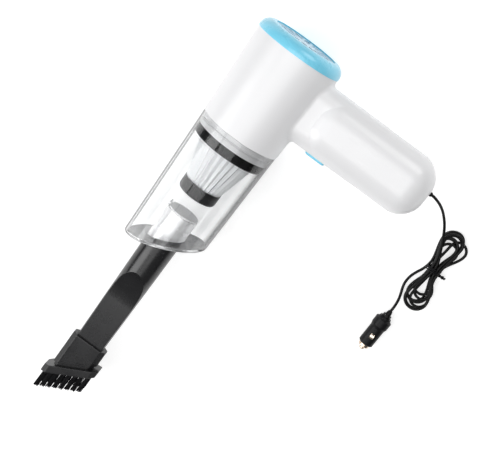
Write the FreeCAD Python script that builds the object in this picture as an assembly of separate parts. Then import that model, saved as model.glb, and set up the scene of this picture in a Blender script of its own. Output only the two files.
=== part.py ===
import FreeCAD, Part
import math
import os

# Handheld vacuum, in millimetres.
# Tool frame: +X runs along the suction axis from the exhaust face to the nozzle, +Y runs along
# the handle, and +Z is up with the tool lying on its side. The axis is the line y = 0, z = 0.
# Every shape is made in this frame, and is moved by to_stand when it is saved, so that the saved
# model stands on z = 0 with its origin under the middle of its box.

V = FreeCAD.Vector
ALONG_X = V(1, 0, 0)
ALONG_Y = V(0, 1, 0)
ALONG_Z = V(0, 0, 1)

# ---- clearances ----
SLIDE_GAP = 0.08        # running and sliding fits, on the radius
SEAT_GAP = 0.10         # loose seats of fixed pieces
FACE_GAP = 0.20         # between the end faces of pieces that come apart
PIN_GAP = 0.04          # round turning pins and the motor's shaft
PAST = 1.0              # how far a cutting shape runs past the face that it opens

# ---- exhaust ring and grille ----
RING_RADIUS = 35.0      # the widest part of the tool
RING_LENGTH = 9.0
RING_ROUND_WIDTH = 7.8  # rounded edge of the end face, across and along the axis
RING_ROUND_DEPTH = 8.4
RING_LAND = 1.8         # flat land between the rounded edge and the grille
RING_WALL = 1.8
GRILLE_THICKNESS = 2.2
GRILLE_RECESS = 1.0
GRILLE_PETALS = 12
GRILLE_RIM = 1.8
PETAL_INNER = 8.0
PETAL_WIDTH = 5.2
SMALL_PETAL_START = 0.60  # shares of a large petal
SMALL_PETAL_WIDTH = 0.55
GRILLE_SEAT_WIDTH = 1.9
GRILLE_SEAT_DEPTH = 1.6
GRILLE_SCREW_OFFSET = 9.5
GRILLE_BAR_WIDTH = 7.0
FELT_THICKNESS = 2.0

# ---- main housing, split in the plane z = 0 ----
WALL = 2.2
BARREL_END = 81.0       # where the dust cup starts
RING_STEP = 0.4         # how far the ring stands out from the barrel
BARREL_TAPER = 2.3      # on the radius, from the ring to the cup
REGISTER_START = 3.6    # the barrel's lip inside the exhaust ring
REGISTER_WALL = 1.7
RIB_WALL = 1.8
FIN_HALF_WALL = 0.8
SEAM_WIDTH = 0.3        # shadow line along the split
SEAM_DEPTH = 0.35

# ---- handle ----
HANDLE_REAR = 14.5
HANDLE_WIDTH = 48.0
GRIP_SINK = 2.6         # how far the grip's rounded start sits inside the barrel's radius
GRIP_LENGTH = 104.4
GRIP_DEPTH = 43.0
GRIP_FLAT = 2.0         # half of the flat left between the grip's rounded edges
NECK_INSET = 4.0        # how far the neck is thinner than the grip, each side
NECK_FLAT = 4.5
NECK_FILLET = 4.0
BOSS_RADIUS = 3.4
BOSS_INSET = 9.5        # of the screw bosses from the handle's front and rear
BOSS_SHARES = (0.233, 0.512, 0.698)  # places of the screw bosses along the grip
SCREW_RADIUS = 1.2
SCREW_HEAD_RADIUS = 2.4
SCREW_HEAD_HEIGHT = 1.8
SCREW_SLOT_DEPTH = 0.9
SCREW_SLOT_HALF = 0.3
SCREW_SEAT = 12.0       # depth of the housing screws' heads below the split plane
SCREW_REACH = 8.0       # how far their tips pass it
CLAMP_INSET = 18.4      # of the cord clamp from the handle's end
CLAMP_SEAT = 1.6
CLAMP_TOP = 2.6
CLAMP_SCREW_OFFSET = 8.0

# ---- power button and switch ----
BUTTON_INSET = 14.2     # of the button from the start of the grip
BUTTON_LENGTH = 16.8
BUTTON_WIDTH = 10.0
BUTTON_PROUD = 1.9
BUTTON_TRAVEL = 1.5
BUTTON_FLANGE = 1.5
BUTTON_FLANGE_REACH = 1.4
BUTTON_FLANGE_GAP = 0.3  # clears the rounded inside of the neck
BUTTON_STEM_RADIUS = 2.0
BUTTON_ROUND = 3.0
SWITCH_INSET = 8.5      # of the switch's face from the handle's front
SWITCH_DEPTH = 11.0
SWITCH_LENGTH = 17.0
SWITCH_WIDTH = 12.0
TAB_OFFSET = 5.0        # terminal tabs on the switch's back
TAB_THICKNESS = 0.8
TAB_REACH = 2.4

# ---- motor and fan ----
CAN_WALL = 1.2
CAN_START = 15.0
CAN_MARGIN = 9.5        # the motor can is this much smaller than the bore of the collar
FAN_SPACE = 21.0        # from the fan plate to the barrel's end
FAN_PLATE_THICKNESS = 2.0
SHAFT_RADIUS = 1.6
BUSH_RADIUS = 3.2
END_CAP_THICKNESS = 4.0
TERMINAL_REACH = 7.0    # of the motor's terminals from the can's outside
TERMINAL_LENGTH = 2.8
TERMINAL_SPREAD = 4.0
AIR_GAP = 0.8
MOTOR_SCREW_INSET = 8.0
MAGNET_THICKNESS = 2.6
CUSHION_START = 22.0
CUSHION_LENGTH = 8.0
CUSHION_WALL = 6.0
IMPELLER_GAP = 3.0      # from the impeller's rim to the bore of the collar
IMPELLER_BLADES = 9
IMPELLER_DEPTH = 11.0
IMPELLER_EYE = 9.0
IMPELLER_STANDOFF = 2.0
SHROUD_WALL = 1.5

# ---- spigot collar, filter and seal ----
SPIGOT_LENGTH = 9.0
COLLAR_LENGTH = 9.0     # of the collar inside the barrel
COLLAR_WALL = 2.5
COLLAR_FLANGE_INSET = 5.0
COLLAR_FLANGE_LENGTH = 3.0
GUARD_THICKNESS = 2.0
GUARD_CORE = 4.0
GUARD_RIM = 2.5
GUARD_BAR = 2.0
CUP_SEAL_SECTION = 1.6
FILTER_SEAL_LENGTH = 7.5
FILTER_MARGIN = 6.7     # from the cup's bore to the pleats
FILTER_FRAME_WALL = 1.6
FILTER_NARROWING = 7.7  # of the filter, from the seal to its tip cup
FILTER_TIP_LENGTH = 9.0
TIP_LIP_SHARE = 0.048   # of the pleats' length that the tip cup's lip covers
FILTER_PLEATS = 28
PLEAT_DEPTH = 1.8
PLEAT_WALL = 0.8

# ---- dust cup ----
CUP_LENGTH = 101.5      # on the axis
CUP_WALL = 1.8
CUP_STEP = 0.3          # how far the cup is smaller than the barrel's end
CUP_TAPER = 2.2
CUP_SLANT = math.tan(math.radians(22.6))
CUP_BASE = 3.0
CUP_FOOT_ROUND = 2.4
CUP_SOCKET_MARGIN = 1.0

# ---- inlet tube and flap ----
INLET_RADIUS = 13.4
INLET_WALL = 1.5
INLET_HEIGHT = 25.5     # of the tube inside the cup, on the axis
FLAP_ROOM = 17.0        # between the filter's tip and the tube, where the flap swings
FLAP_THICKNESS = 1.2
FLAP_PIN_RADIUS = 0.5
FLAP_SEAT_GAP = 0.15

# ---- crevice nozzle ----
NOZZLE_LENGTH = 120.5   # outside the cup, on the axis
NOZZLE_SHOULDER = 0.2   # how far the nozzle is smaller than the inlet tube
NOZZLE_TAPER = 1.4
NOZZLE_WALL = 1.6
NOZZLE_HALF_DEPTH = 4.4
NOZZLE_FLAT_LENGTH = 59.0
NOZZLE_FACET_RADIUS = 60.0
NOZZLE_EDGE_ROUND = 0.5
SPIGOT_DEPTH = 15.0
NOZZLE_SPIGOT_GAP = 4.0

# ---- brush ----
BRUSH_OVERLAP = 16.5
BRUSH_LENGTH = 22.7
BRUSH_SLANT = math.tan(math.radians(30.0))
BRUSH_SIDE = 3.5        # from the nozzle's tip to the sleeve's side
BRUSH_COVER = 2.4       # from the nozzle's flat to the sleeve's face
BRUSH_CHAMFER = 4.0
BRUSH_EDGE_ROUND = 0.5
PANEL_DEPTH = 0.45      # of the sunk panel in each face of the sleeve
PANEL_MARGIN = 2.0
NECK_LENGTH = 2.8
NECK_STEP = 1.6
FLANGE_LENGTH = 7.2
FLANGE_REACH = 4.0      # how far the flange is wider than the sleeve, each side
FLANGE_COVER = 2.3      # from the tufts to the flange's face
TUFTS = 8
TUFT_DEPTH = 2.6
TUFT_GAP = 0.8
TUFT_MARGIN = 1.8
TUFT_ROW_GAP = 1.3      # from the throat to the tufts
TUFT_ROOT = 3.0
TUFT_REACH = 15.1

# ---- cord, hank and plug ----
CORD_RADIUS = 1.1
GLAND_INSET = 19.8      # of the cord from the handle's rear
GLAND_RADIUS = 1.9
GLAND_COLLAR = 4.2
GLAND_NOSE = 1.8
GLAND_TIP_WALL = 0.5
GLAND_SEAT_GAP = 0.5    # clears the rounded inside of the handle's end
CORE_RADIUS = 0.5
HANK_HEIGHT = 10.2
HANK_LOBES = [(61.6, 178.6, 13.4, 10.6), (104.8, 179.4, 13.8, 10.6)]
HANK_WAIST_X = (70.0, 96.0)
HANK_WAIST_Y = (173.0, 184.8)
TIE_X = (81.0, 85.6)
TIE_THICKNESS = 0.6
PLUG_START = 129.0
PLUG_Y = 173.0
PLUG_RELIEF_LENGTH = 6.0
PLUG_GRIP_LENGTH = 12.0
PLUG_BARREL_LENGTH = 15.0
PLUG_RING_LENGTH = 2.6
PLUG_RING_RADIUS = 4.4
PLUG_GRIP_RADIUS = 6.8
PLUG_BARREL_RADIUS = 6.0
PLUG_BORE = 3.0
PLUG_BORE_INSET = 4.0
PLUG_TIP_REACH = 3.0
PLUG_SPRING_LENGTH = 4.0
FUSE_RADIUS = 2.5
TIP_RADIUS = 2.2
CONTACT_WIDTH = 3.2

# ---- worked out from the sizes above ----
BARREL_REAR_RADIUS = RING_RADIUS - RING_STEP
BARREL_FRONT_RADIUS = BARREL_REAR_RADIUS - BARREL_TAPER
GRILLE_RADIUS = RING_RADIUS - RING_ROUND_WIDTH - RING_LAND
PETAL_OUTER = GRILLE_RADIUS - GRILLE_RIM
HANDLE_FRONT = HANDLE_REAR + HANDLE_WIDTH
GRIP_START = BARREL_REAR_RADIUS - GRIP_SINK
HANDLE_END = GRIP_START + GRIP_LENGTH
GRIP_ROUND = 0.5 * GRIP_DEPTH - GRIP_FLAT
NECK_DEPTH = GRIP_DEPTH - 2 * NECK_INSET
NECK_ROUND = 0.5 * NECK_DEPTH - NECK_FLAT
BOSS_PLACES = [
    (HANDLE_REAR + BOSS_INSET, GRIP_START + BOSS_SHARES[0] * GRIP_LENGTH),
    (HANDLE_FRONT - BOSS_INSET, GRIP_START + BOSS_SHARES[1] * GRIP_LENGTH),
    (HANDLE_REAR + BOSS_INSET, GRIP_START + BOSS_SHARES[2] * GRIP_LENGTH),
]
CLAMP_Y = HANDLE_END - CLAMP_INSET
BUTTON_START = GRIP_START + BUTTON_INSET
BUTTON_MIDDLE = BUTTON_START + 0.5 * BUTTON_LENGTH
SWITCH_FACE = HANDLE_FRONT - SWITCH_INSET
SWITCH_BACK = SWITCH_FACE - SWITCH_DEPTH
COLLAR_START = BARREL_END - COLLAR_LENGTH
COLLAR_RADIUS = BARREL_FRONT_RADIUS - WALL - SEAT_GAP
COLLAR_BORE = COLLAR_RADIUS - COLLAR_WALL
COLLAR_FLANGE_START = BARREL_END - COLLAR_FLANGE_INSET
COLLAR_FLANGE_END = COLLAR_FLANGE_START + COLLAR_FLANGE_LENGTH
SPIGOT_END = BARREL_END + SPIGOT_LENGTH
GUARD_START = BARREL_END - 1.0
GUARD_END = GUARD_START + GUARD_THICKNESS
CAN_RADIUS = COLLAR_BORE - CAN_MARGIN
FAN_PLATE_START = BARREL_END - FAN_SPACE
FAN_PLATE_END = FAN_PLATE_START + FAN_PLATE_THICKNESS
END_CAP_START = CAN_START - END_CAP_THICKNESS
TERMINAL_FACE = CAN_RADIUS - TERMINAL_REACH
ARMATURE_RADIUS = CAN_RADIUS - CAN_WALL - MAGNET_THICKNESS - AIR_GAP
MOTOR_SCREW_OFFSET = CAN_RADIUS - MOTOR_SCREW_INSET
CUSHION_RADIUS = CAN_RADIUS + CUSHION_WALL
CUSHION_END = CUSHION_START + CUSHION_LENGTH
IMPELLER_RADIUS = COLLAR_BORE - IMPELLER_GAP
CUP_RIM_RADIUS = BARREL_FRONT_RADIUS - CUP_STEP
CUP_FOOT_RADIUS = CUP_RIM_RADIUS - CUP_TAPER
CUP_BORE = CUP_RIM_RADIUS - CUP_WALL
CUP_BOTTOM = BARREL_END + CUP_LENGTH
CUP_SOCKET_END = SPIGOT_END + FILTER_SEAL_LENGTH + CUP_SOCKET_MARGIN
INLET_TOP = CUP_BOTTOM - INLET_HEIGHT
FILTER_SEAL_END = SPIGOT_END + FILTER_SEAL_LENGTH
FILTER_TIP_END = INLET_TOP - FLAP_ROOM
FILTER_TIP_START = FILTER_TIP_END - FILTER_TIP_LENGTH
FILTER_CONE_RADIUS = CUP_BORE - FILTER_MARGIN
FILTER_TIP_RADIUS = FILTER_CONE_RADIUS - FILTER_NARROWING
FILTER_FRAME_BORE = FILTER_CONE_RADIUS + FILTER_FRAME_WALL
FILTER_FRAME_RADIUS = FILTER_FRAME_BORE + FILTER_FRAME_WALL
FLAP_END = INLET_TOP - FLAP_SEAT_GAP
FLAP_START = FLAP_END - FLAP_THICKNESS
FLAP_PIN_X = FLAP_START + 0.5 * FLAP_THICKNESS - 0.35
FLAP_PIN_Y = 0.5 * INLET_WALL - INLET_RADIUS
NOZZLE_RADIUS = INLET_RADIUS - NOZZLE_SHOULDER
NOZZLE_TIP_RADIUS = NOZZLE_RADIUS - NOZZLE_TAPER
NOZZLE_TIP = CUP_BOTTOM + NOZZLE_LENGTH
NOZZLE_FLAT_START = NOZZLE_TIP - NOZZLE_FLAT_LENGTH
BRUSH_START = NOZZLE_TIP - BRUSH_OVERLAP
BRUSH_SKIRT_END = BRUSH_START + BRUSH_LENGTH
BRUSH_WIDTH = 2 * (NOZZLE_TIP_RADIUS + BRUSH_SIDE)
BRUSH_DEPTH = 2 * (NOZZLE_HALF_DEPTH + BRUSH_COVER)
THROAT_HALF = NOZZLE_HALF_DEPTH - NOZZLE_WALL
FLANGE_START = BRUSH_SKIRT_END + NECK_LENGTH
FLANGE_END = FLANGE_START + FLANGE_LENGTH
FLANGE_WIDTH = BRUSH_WIDTH + 2 * FLANGE_REACH
TUFT_ROW = THROAT_HALF + TUFT_ROW_GAP + 0.5 * TUFT_DEPTH
FLANGE_DEPTH = 2 * (TUFT_ROW + 0.5 * TUFT_DEPTH + FLANGE_COVER)
TUFT_PITCH = (FLANGE_WIDTH - 2 * TUFT_MARGIN) / TUFTS
TUFT_WIDTH = TUFT_PITCH - TUFT_GAP
TUFT_TIP = FLANGE_END + TUFT_REACH
TABLE = -RING_RADIUS
GLAND_X = HANDLE_REAR + GLAND_INSET
GLAND_END = HANDLE_END + GLAND_NOSE
TAIL_START = CLAMP_Y - 7.0
PLUG_Z = TABLE + PLUG_GRIP_RADIUS
CORD_ON_TABLE = TABLE + CORD_RADIUS
PLUG_GRIP_START = PLUG_START + PLUG_RELIEF_LENGTH
PLUG_BARREL_START = PLUG_GRIP_START + PLUG_GRIP_LENGTH
PLUG_BARREL_END = PLUG_BARREL_START + PLUG_BARREL_LENGTH
PLUG_RING_END = PLUG_BARREL_END + PLUG_RING_LENGTH
PLUG_BORE_START = PLUG_GRIP_START + PLUG_BORE_INSET

# The cord's route from the gland to the hank, and from the hank to the plug.
LEAD_ROUTE = [
    (GLAND_X, GLAND_END, 0.0),
    (GLAND_X, GLAND_END + 3.4, 0.0),
    (36.6, 147.8, 0.10 * TABLE),
    (40.0, 153.6, 0.25 * TABLE),
    (44.6, 159.0, 0.45 * TABLE),
    (50.2, 163.8, 0.64 * TABLE),
    (56.0, 167.8, 0.77 * TABLE),
    (62.4, 171.4, TABLE + 0.75 * HANK_HEIGHT),
]
PLUG_ROUTE = [
    (112.0, 173.6, TABLE + 4.4),
    (118.0, 173.2, TABLE + 5.4),
    (123.6, PLUG_Y, PLUG_Z),
    (PLUG_START, PLUG_Y, PLUG_Z),
]


# ---------------------------------------------------------------- helpers

def box(x_range, y_range, z_range):
    corner = V(x_range[0], y_range[0], z_range[0])
    return Part.makeBox(x_range[1] - x_range[0], y_range[1] - y_range[0], z_range[1] - z_range[0], corner)


def rod(radius, x_start, x_end, y=0.0, z=0.0):
    """Round bar along X."""
    return Part.makeCylinder(radius, x_end - x_start, V(x_start, y, z), ALONG_X)


def post(radius, x, y, z_start, z_end):
    """Round bar along Z."""
    return Part.makeCylinder(radius, z_end - z_start, V(x, y, z_start), ALONG_Z)


def cone(x_start, x_end, r_start, r_end):
    return Part.makeCone(r_start, r_end, x_end - x_start, V(x_start, 0, 0), ALONG_X)


def tube(x_start, x_end, r_outer, r_inner, y=0.0, z=0.0):
    return rod(r_outer, x_start, x_end, y, z).cut(rod(r_inner, x_start - 1, x_end + 1, y, z))


def turned(profile, y=0.0, z=0.0):
    """Solid of revolution about the axis at (y, z) from (x, radius) corners."""
    corners = [V(x, y + r, z) for x, r in profile]
    outline = Part.makePolygon(corners + corners[:1])
    return Part.Face(outline).revolve(V(0, y, z), ALONG_X, 360)


def prism(outline, x_start, length, slant=0.0):
    """Bar along X from (y, z) corners, between two planes that lean by slant towards -Y."""
    corners = [V(x_start - slant * y, y, z) for y, z in outline]
    return Part.Face(Part.makePolygon(corners + corners[:1])).extrude(V(length, 0, 0))


def octagon(width, depth, chamfer):
    w = 0.5 * width
    d = 0.5 * depth
    c = chamfer
    return [(w, d - c), (w - c, d), (c - w, d), (-w, d - c), (-w, c - d), (c - w, -d), (w - c, -d), (w, c - d)]


def square(half):
    return [(half, half), (-half, half), (-half, -half), (half, -half)]


def runs_along(edge, direction):
    if len(edge.Vertexes) < 2:
        return False
    span = edge.Vertexes[-1].Point - edge.Vertexes[0].Point
    straight = abs(span.Length - edge.Length) < 1e-6
    return straight and abs(abs(span.normalize() * direction) - 1) < 1e-6


def joined(shapes):
    return shapes[0].fuse(list(shapes[1:])).removeSplitter()


def around_axis(shape, count):
    """Copies of a shape, evenly turned about the suction axis."""
    turns = [shape.copy() for step in range(count)]
    for step, item in enumerate(turns):
        item.rotate(V(0, 0, 0), ALONG_X, 360.0 * step / count)
    return turns


def group(shapes):
    """Separate solids that share one node."""
    return Part.makeCompound([solid for shape in shapes for solid in shape.Solids])


def screw(x, y, z_head, z_tip, up):
    """Pan-head screw along Z. The head is below its seat where up is true."""
    slot_x = (x - SCREW_SLOT_HALF, x + SCREW_SLOT_HALF)
    slot_y = (y - 1.5, y + 1.5)
    if up:
        head = post(SCREW_HEAD_RADIUS, x, y, z_head - SCREW_HEAD_HEIGHT, z_head)
        shank = post(SCREW_RADIUS, x, y, z_head, z_tip)
        slot = box(slot_x, slot_y, (z_head - SCREW_HEAD_HEIGHT, z_head - SCREW_SLOT_DEPTH))
    else:
        head = post(SCREW_HEAD_RADIUS, x, y, z_head, z_head + SCREW_HEAD_HEIGHT)
        shank = post(SCREW_RADIUS, x, y, z_tip, z_head)
        slot = box(slot_x, slot_y, (z_head + SCREW_SLOT_DEPTH, z_head + SCREW_HEAD_HEIGHT))
    return head.fuse(shank).cut(slot)


def flexible_tube(route, radius, name):
    """Straight runs joined by tangent arcs. Each arc is as large as its two runs allow."""
    points = [V(*point) for point in route]
    edges = []
    radii = []
    start = points[0]
    for before, corner, after in zip(points, points[1:], points[2:]):
        run_in = corner - before
        run_out = after - corner
        reach = 0.45 * min(run_in.Length, run_out.Length)
        way_in = V(run_in).normalize()
        way_out = V(run_out).normalize()
        half_turn = 0.5 * way_in.getAngle(way_out)
        bend = reach / math.tan(half_turn)
        radii.append(round(bend, 1))
        arc_start = corner - way_in * reach
        arc_end = corner + way_out * reach
        to_centre = V(way_out - way_in).normalize()
        middle = corner + to_centre * (bend / math.cos(half_turn) - bend)
        edges.append(Part.LineSegment(start, arc_start).toShape())
        edges.append(Part.Arc(arc_start, middle, arc_end).toShape())
        start = arc_end
    edges.append(Part.LineSegment(start, points[-1]).toShape())
    path = Part.Wire(edges)
    first = V(points[1] - points[0])
    section = Part.Wire(Part.makeCircle(radius, points[0], first))
    solid = path.makePipeShell([section], True, False)
    share = solid.Volume / (math.pi * radius ** 2 * path.Length)
    print(name, "length", round(path.Length, 1), "radii", radii, "volume share", round(share, 4))
    return solid


def coil_spring(x_start, x_end, radius, wire_radius, turns, y=0.0, z=0.0):
    """Compression spring along X."""
    length = x_end - x_start - 2 * wire_radius
    helix = Part.makeHelix(length / turns, length, radius)
    section = Part.Wire(Part.makeCircle(wire_radius, V(radius, 0, 0), ALONG_Y))
    spring = Part.Wire(helix.Edges).makePipeShell([section], True, True)
    spring.rotate(V(0, 0, 0), ALONG_Y, 90)
    spring.translate(V(x_start + wire_radius, y, z))
    return spring


# ---------------------------------------------------------------- exhaust end

def petal(inner, outer, width, x_range):
    """Pointed slot along Y between two arcs."""
    middle = 0.5 * (inner + outer)
    tip_in = V(x_range[0], inner, 0)
    tip_out = V(x_range[0], outer, 0)
    sides = [Part.Arc(tip_in, V(x_range[0], middle, side * 0.5 * width), tip_out).toShape() for side in (1, -1)]
    return Part.Face(Part.Wire(sides)).extrude(V(x_range[1] - x_range[0], 0, 0))


def exhaust_end():
    seat = GRILLE_RECESS + GRILLE_THICKNESS
    seat_back = seat + GRILLE_SEAT_DEPTH
    recess = GRILLE_RADIUS + SEAT_GAP
    skirt_inner = RING_RADIUS - RING_WALL
    register_face = REGISTER_START - SEAT_GAP
    flat_radius = RING_RADIUS - RING_ROUND_WIDTH
    diagonal = math.sqrt(0.5)
    rounding = Part.Arc(
        V(0, flat_radius, 0),
        V(RING_ROUND_DEPTH * (1 - diagonal), flat_radius + RING_ROUND_WIDTH * diagonal, 0),
        V(RING_ROUND_DEPTH, RING_RADIUS, 0)).toShape()
    corners = [V(x, r, 0) for x, r in [
        (RING_ROUND_DEPTH, RING_RADIUS), (RING_LENGTH, RING_RADIUS), (RING_LENGTH, skirt_inner),
        (register_face, skirt_inner), (register_face, recess + 1.4), (seat_back, recess + 1.4),
        (seat_back, recess - GRILLE_SEAT_WIDTH), (seat, recess - GRILLE_SEAT_WIDTH), (seat, recess),
        (0, recess), (0, flat_radius)]]
    outline = Part.Wire([rounding] + Part.makePolygon(corners).Edges)
    ring = Part.Face(outline).revolve(V(0, 0, 0), ALONG_X, 360)
    half_bar = 0.5 * GRILLE_BAR_WIDTH
    bar = box((seat, seat_back), (-half_bar, half_bar), (-recess, recess))
    ring = joined([ring, bar.common(rod(recess, 0, RING_LENGTH))])

    grille = rod(GRILLE_RADIUS, GRILLE_RECESS, seat)
    slots = around_axis(petal(PETAL_INNER, PETAL_OUTER, PETAL_WIDTH, (0, seat + PAST)), GRILLE_PETALS)
    small_start = PETAL_INNER + SMALL_PETAL_START * (PETAL_OUTER - PETAL_INNER)
    small = petal(small_start, PETAL_OUTER, SMALL_PETAL_WIDTH * PETAL_WIDTH, (0, seat + PAST))
    small.rotate(V(0, 0, 0), ALONG_X, 180.0 / GRILLE_PETALS)
    slots += around_axis(small, GRILLE_PETALS)
    screws = []
    head_seat = GRILLE_RECESS + 1.0
    for side in (1, -1):
        z = side * GRILLE_SCREW_OFFSET
        pad = rod(SCREW_HEAD_RADIUS + 1.0, GRILLE_RECESS, seat, 0, z)
        slots = [slot.cut(pad) for slot in slots]
        slots.append(rod(SCREW_RADIUS, 0, seat + PAST, 0, z))
        slots.append(rod(SCREW_HEAD_RADIUS + SEAT_GAP, 0, head_seat, 0, z))
        ring = ring.cut(rod(SCREW_RADIUS, seat - PAST, seat_back + PAST, 0, z))
        head = rod(SCREW_HEAD_RADIUS, GRILLE_RECESS + 0.2, head_seat, 0, z)
        cross = box((0, GRILLE_RECESS + 0.6), (-1.4, 1.4), (z - SCREW_SLOT_HALF, z + SCREW_SLOT_HALF))
        cross = cross.fuse(box((0, GRILLE_RECESS + 0.6), (-SCREW_SLOT_HALF, SCREW_SLOT_HALF), (z - 1.4, z + 1.4)))
        screws.append(head.fuse(rod(SCREW_RADIUS, head_seat, seat_back, 0, z)).cut(cross))
    grille = grille.cut(slots)
    felt_start = seat_back + SEAT_GAP
    felt = rod(skirt_inner - REGISTER_WALL - 4 * SEAT_GAP, felt_start, felt_start + FELT_THICKNESS)
    return {"exhaust_ring": ring, "exhaust_grille": grille, "grille_screws": group(screws),
            "exhaust_felt": felt}


# ---------------------------------------------------------------- housing

def barrel_radius(x):
    """Outer radius of the barrel at a place along the axis."""
    share = (x - RING_LENGTH) / (BARREL_END - RING_LENGTH)
    return BARREL_REAR_RADIUS + share * (BARREL_FRONT_RADIUS - BARREL_REAR_RADIUS)


def handle_blank(inset):
    """Neck and grip as one blank, smaller by inset all round."""
    x_range = (HANDLE_REAR + inset, HANDLE_FRONT - inset)
    half_neck = 0.5 * NECK_DEPTH - inset
    neck = box(x_range, (0, 0.5 * (GRIP_START + HANDLE_END)), (-half_neck, half_neck))
    neck = neck.makeFillet(NECK_ROUND - inset, [e for e in neck.Edges if runs_along(e, ALONG_Y)])
    half_grip = 0.5 * GRIP_DEPTH - inset
    grip = box(x_range, (GRIP_START + inset, HANDLE_END - inset), (-half_grip, half_grip))
    grip = grip.makeFillet(GRIP_ROUND - inset, grip.Edges)
    return neck.fuse(grip)


def is_root_edge(edge):
    """True on the edges where the neck leaves the barrel."""
    middle = edge.valueAt(0.5 * (edge.FirstParameter + edge.LastParameter))
    on_barrel = abs(math.hypot(middle.y, middle.z) - barrel_radius(middle.x)) < 0.02
    return on_barrel and middle.y > 0.3 * BARREL_FRONT_RADIUS and RING_LENGTH + 1 < middle.x < BARREL_END - 1


def fan_plate_radius():
    return barrel_radius(FAN_PLATE_END) - WALL - SEAT_GAP


def barrel_blank(inset):
    return cone(RING_LENGTH, BARREL_END, BARREL_REAR_RADIUS - inset, BARREL_FRONT_RADIUS - inset)


def outer_blank():
    """Outside of the whole housing, before it is hollowed."""
    outer = barrel_blank(0).fuse(handle_blank(0)).removeSplitter()
    return outer.makeFillet(NECK_FILLET, [e for e in outer.Edges if is_root_edge(e)])


def seam_groove(outer):
    """Shadow line round the outside of the split."""
    half = 0.5 * SEAM_WIDTH
    slab = box((RING_LENGTH + RING_STEP, BARREL_END - CUP_STEP), (-RING_RADIUS, HANDLE_END + PAST), (-half, half))
    core = barrel_blank(SEAM_DEPTH).fuse(handle_blank(SEAM_DEPTH))
    gland_land = Part.makeCylinder(GLAND_COLLAR, 4 * WALL, V(GLAND_X, HANDLE_END - 2 * WALL, 0), ALONG_Y)
    return slab.common(outer).cut(core).cut(gland_land)


def housing_blank(outer):
    shell = outer.cut(barrel_blank(WALL)).cut(handle_blank(WALL))
    lip_radius = RING_RADIUS - RING_WALL - SEAT_GAP
    lip = tube(REGISTER_START, RING_LENGTH + 2, lip_radius, lip_radius - REGISTER_WALL)
    felt_stop = GRILLE_RECESS + GRILLE_THICKNESS + GRILLE_SEAT_DEPTH + FELT_THICKNESS + 2 * SEAT_GAP
    stop = tube(felt_stop, RING_LENGTH + 1, lip_radius - 1, lip_radius - REGISTER_WALL - 2.4)
    return joined([shell, lip, stop])


def housing_ribs():
    """Inside features of the housing: fan plate ribs, motor fins and switch ribs."""
    sunk = 0.5 * WALL
    ribs = []
    for x_start, x_end in ((FAN_PLATE_START - RIB_WALL - SEAT_GAP, FAN_PLATE_START - SEAT_GAP),
                           (FAN_PLATE_END + SEAT_GAP, FAN_PLATE_END + RIB_WALL + SEAT_GAP)):
        ribs.append(tube(x_start, x_end, barrel_radius(x_end) - sunk, fan_plate_radius() - 1.6))
    fin_radius = CUSHION_RADIUS + SEAT_GAP
    for angle in (30, 90, 150, 210, 270, 330):
        fin = box((CUSHION_START, CUSHION_END), (fin_radius, barrel_radius(CUSHION_END) - sunk),
                  (-FIN_HALF_WALL, FIN_HALF_WALL))
        fin.rotate(V(0, 0, 0), ALONG_X, angle)
        ribs.append(fin)
    for y in (BUTTON_START + 3.0, BUTTON_START + BUTTON_LENGTH - 4.6):
        for side in (1, -1):
            low = side * (0.5 * SWITCH_WIDTH + SEAT_GAP)
            high = side * (0.5 * NECK_DEPTH - sunk)
            span = (min(low, high), max(low, high))
            ribs.append(box((SWITCH_BACK + 1, SWITCH_FACE - 1), (y, y + 1.6), span))
    return ribs


def housing():
    outer = outer_blank()
    blank = housing_blank(outer)
    collar_groove = rod(collar_flange_radius() + SEAT_GAP, COLLAR_FLANGE_START - SEAT_GAP,
                        COLLAR_FLANGE_END + SEAT_GAP)
    gap = SEAT_GAP
    half_button = 0.5 * BUTTON_WIDTH + gap
    button_well = box((HANDLE_FRONT - 2 * WALL, HANDLE_FRONT + 9),
                      (BUTTON_START - gap, BUTTON_START + BUTTON_LENGTH + gap), (-half_button, half_button))
    gland_hole = Part.makeCylinder(GLAND_RADIUS + 0.05, 2 * WALL, V(GLAND_X, HANDLE_END - 1.5 * WALL, 0), ALONG_Y)
    seam = seam_groove(outer)
    half_grip = 0.5 * GRIP_DEPTH
    inside = handle_blank(0.5 * WALL)
    shells = {}
    for name, side in (("left_housing_shell", 1), ("right_housing_shell", -1)):
        depth_range = (0, RING_RADIUS + 10) if side > 0 else (-RING_RADIUS - 10, 0)
        half_space = box((-10, BARREL_END + 10), (-RING_RADIUS - 10, HANDLE_END + 10), depth_range)
        solids = [blank]
        for x, y in BOSS_PLACES:
            span = (0, half_grip) if side > 0 else (-half_grip, 0)
            solids.append(post(BOSS_RADIUS, x, y, *span).common(inside))
        solids += [rib.common(half_space) for rib in housing_ribs() if rib.common(half_space).Volume > 1]
        if side < 0:
            for x in clamp_screw_places():
                solids.append(post(BOSS_RADIUS, x, CLAMP_Y, -half_grip, -CLAMP_SEAT).common(inside))
        shell = joined(solids).common(half_space)
        cuts = [collar_groove, button_well, gland_hole, seam]
        for x, y in BOSS_PLACES:
            cuts.append(post(SCREW_RADIUS, x, y, -half_grip, SCREW_REACH))
            cuts.append(post(SCREW_HEAD_RADIUS + gap, x, y, -half_grip - PAST, -SCREW_SEAT))
        if side < 0:
            cuts += [post(SCREW_RADIUS, x, CLAMP_Y, -CLAMP_SEAT - 6, 0) for x in clamp_screw_places()]
        shells[name] = shell.cut(cuts)
    screws = [screw(x, y, -SCREW_SEAT, SCREW_REACH, True) for x, y in BOSS_PLACES]
    shells["housing_screws"] = group(screws)
    return shells


def clamp_screw_places():
    return [GLAND_X - CLAMP_SCREW_OFFSET, GLAND_X + CLAMP_SCREW_OFFSET]


# ---------------------------------------------------------------- switch and button

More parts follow.
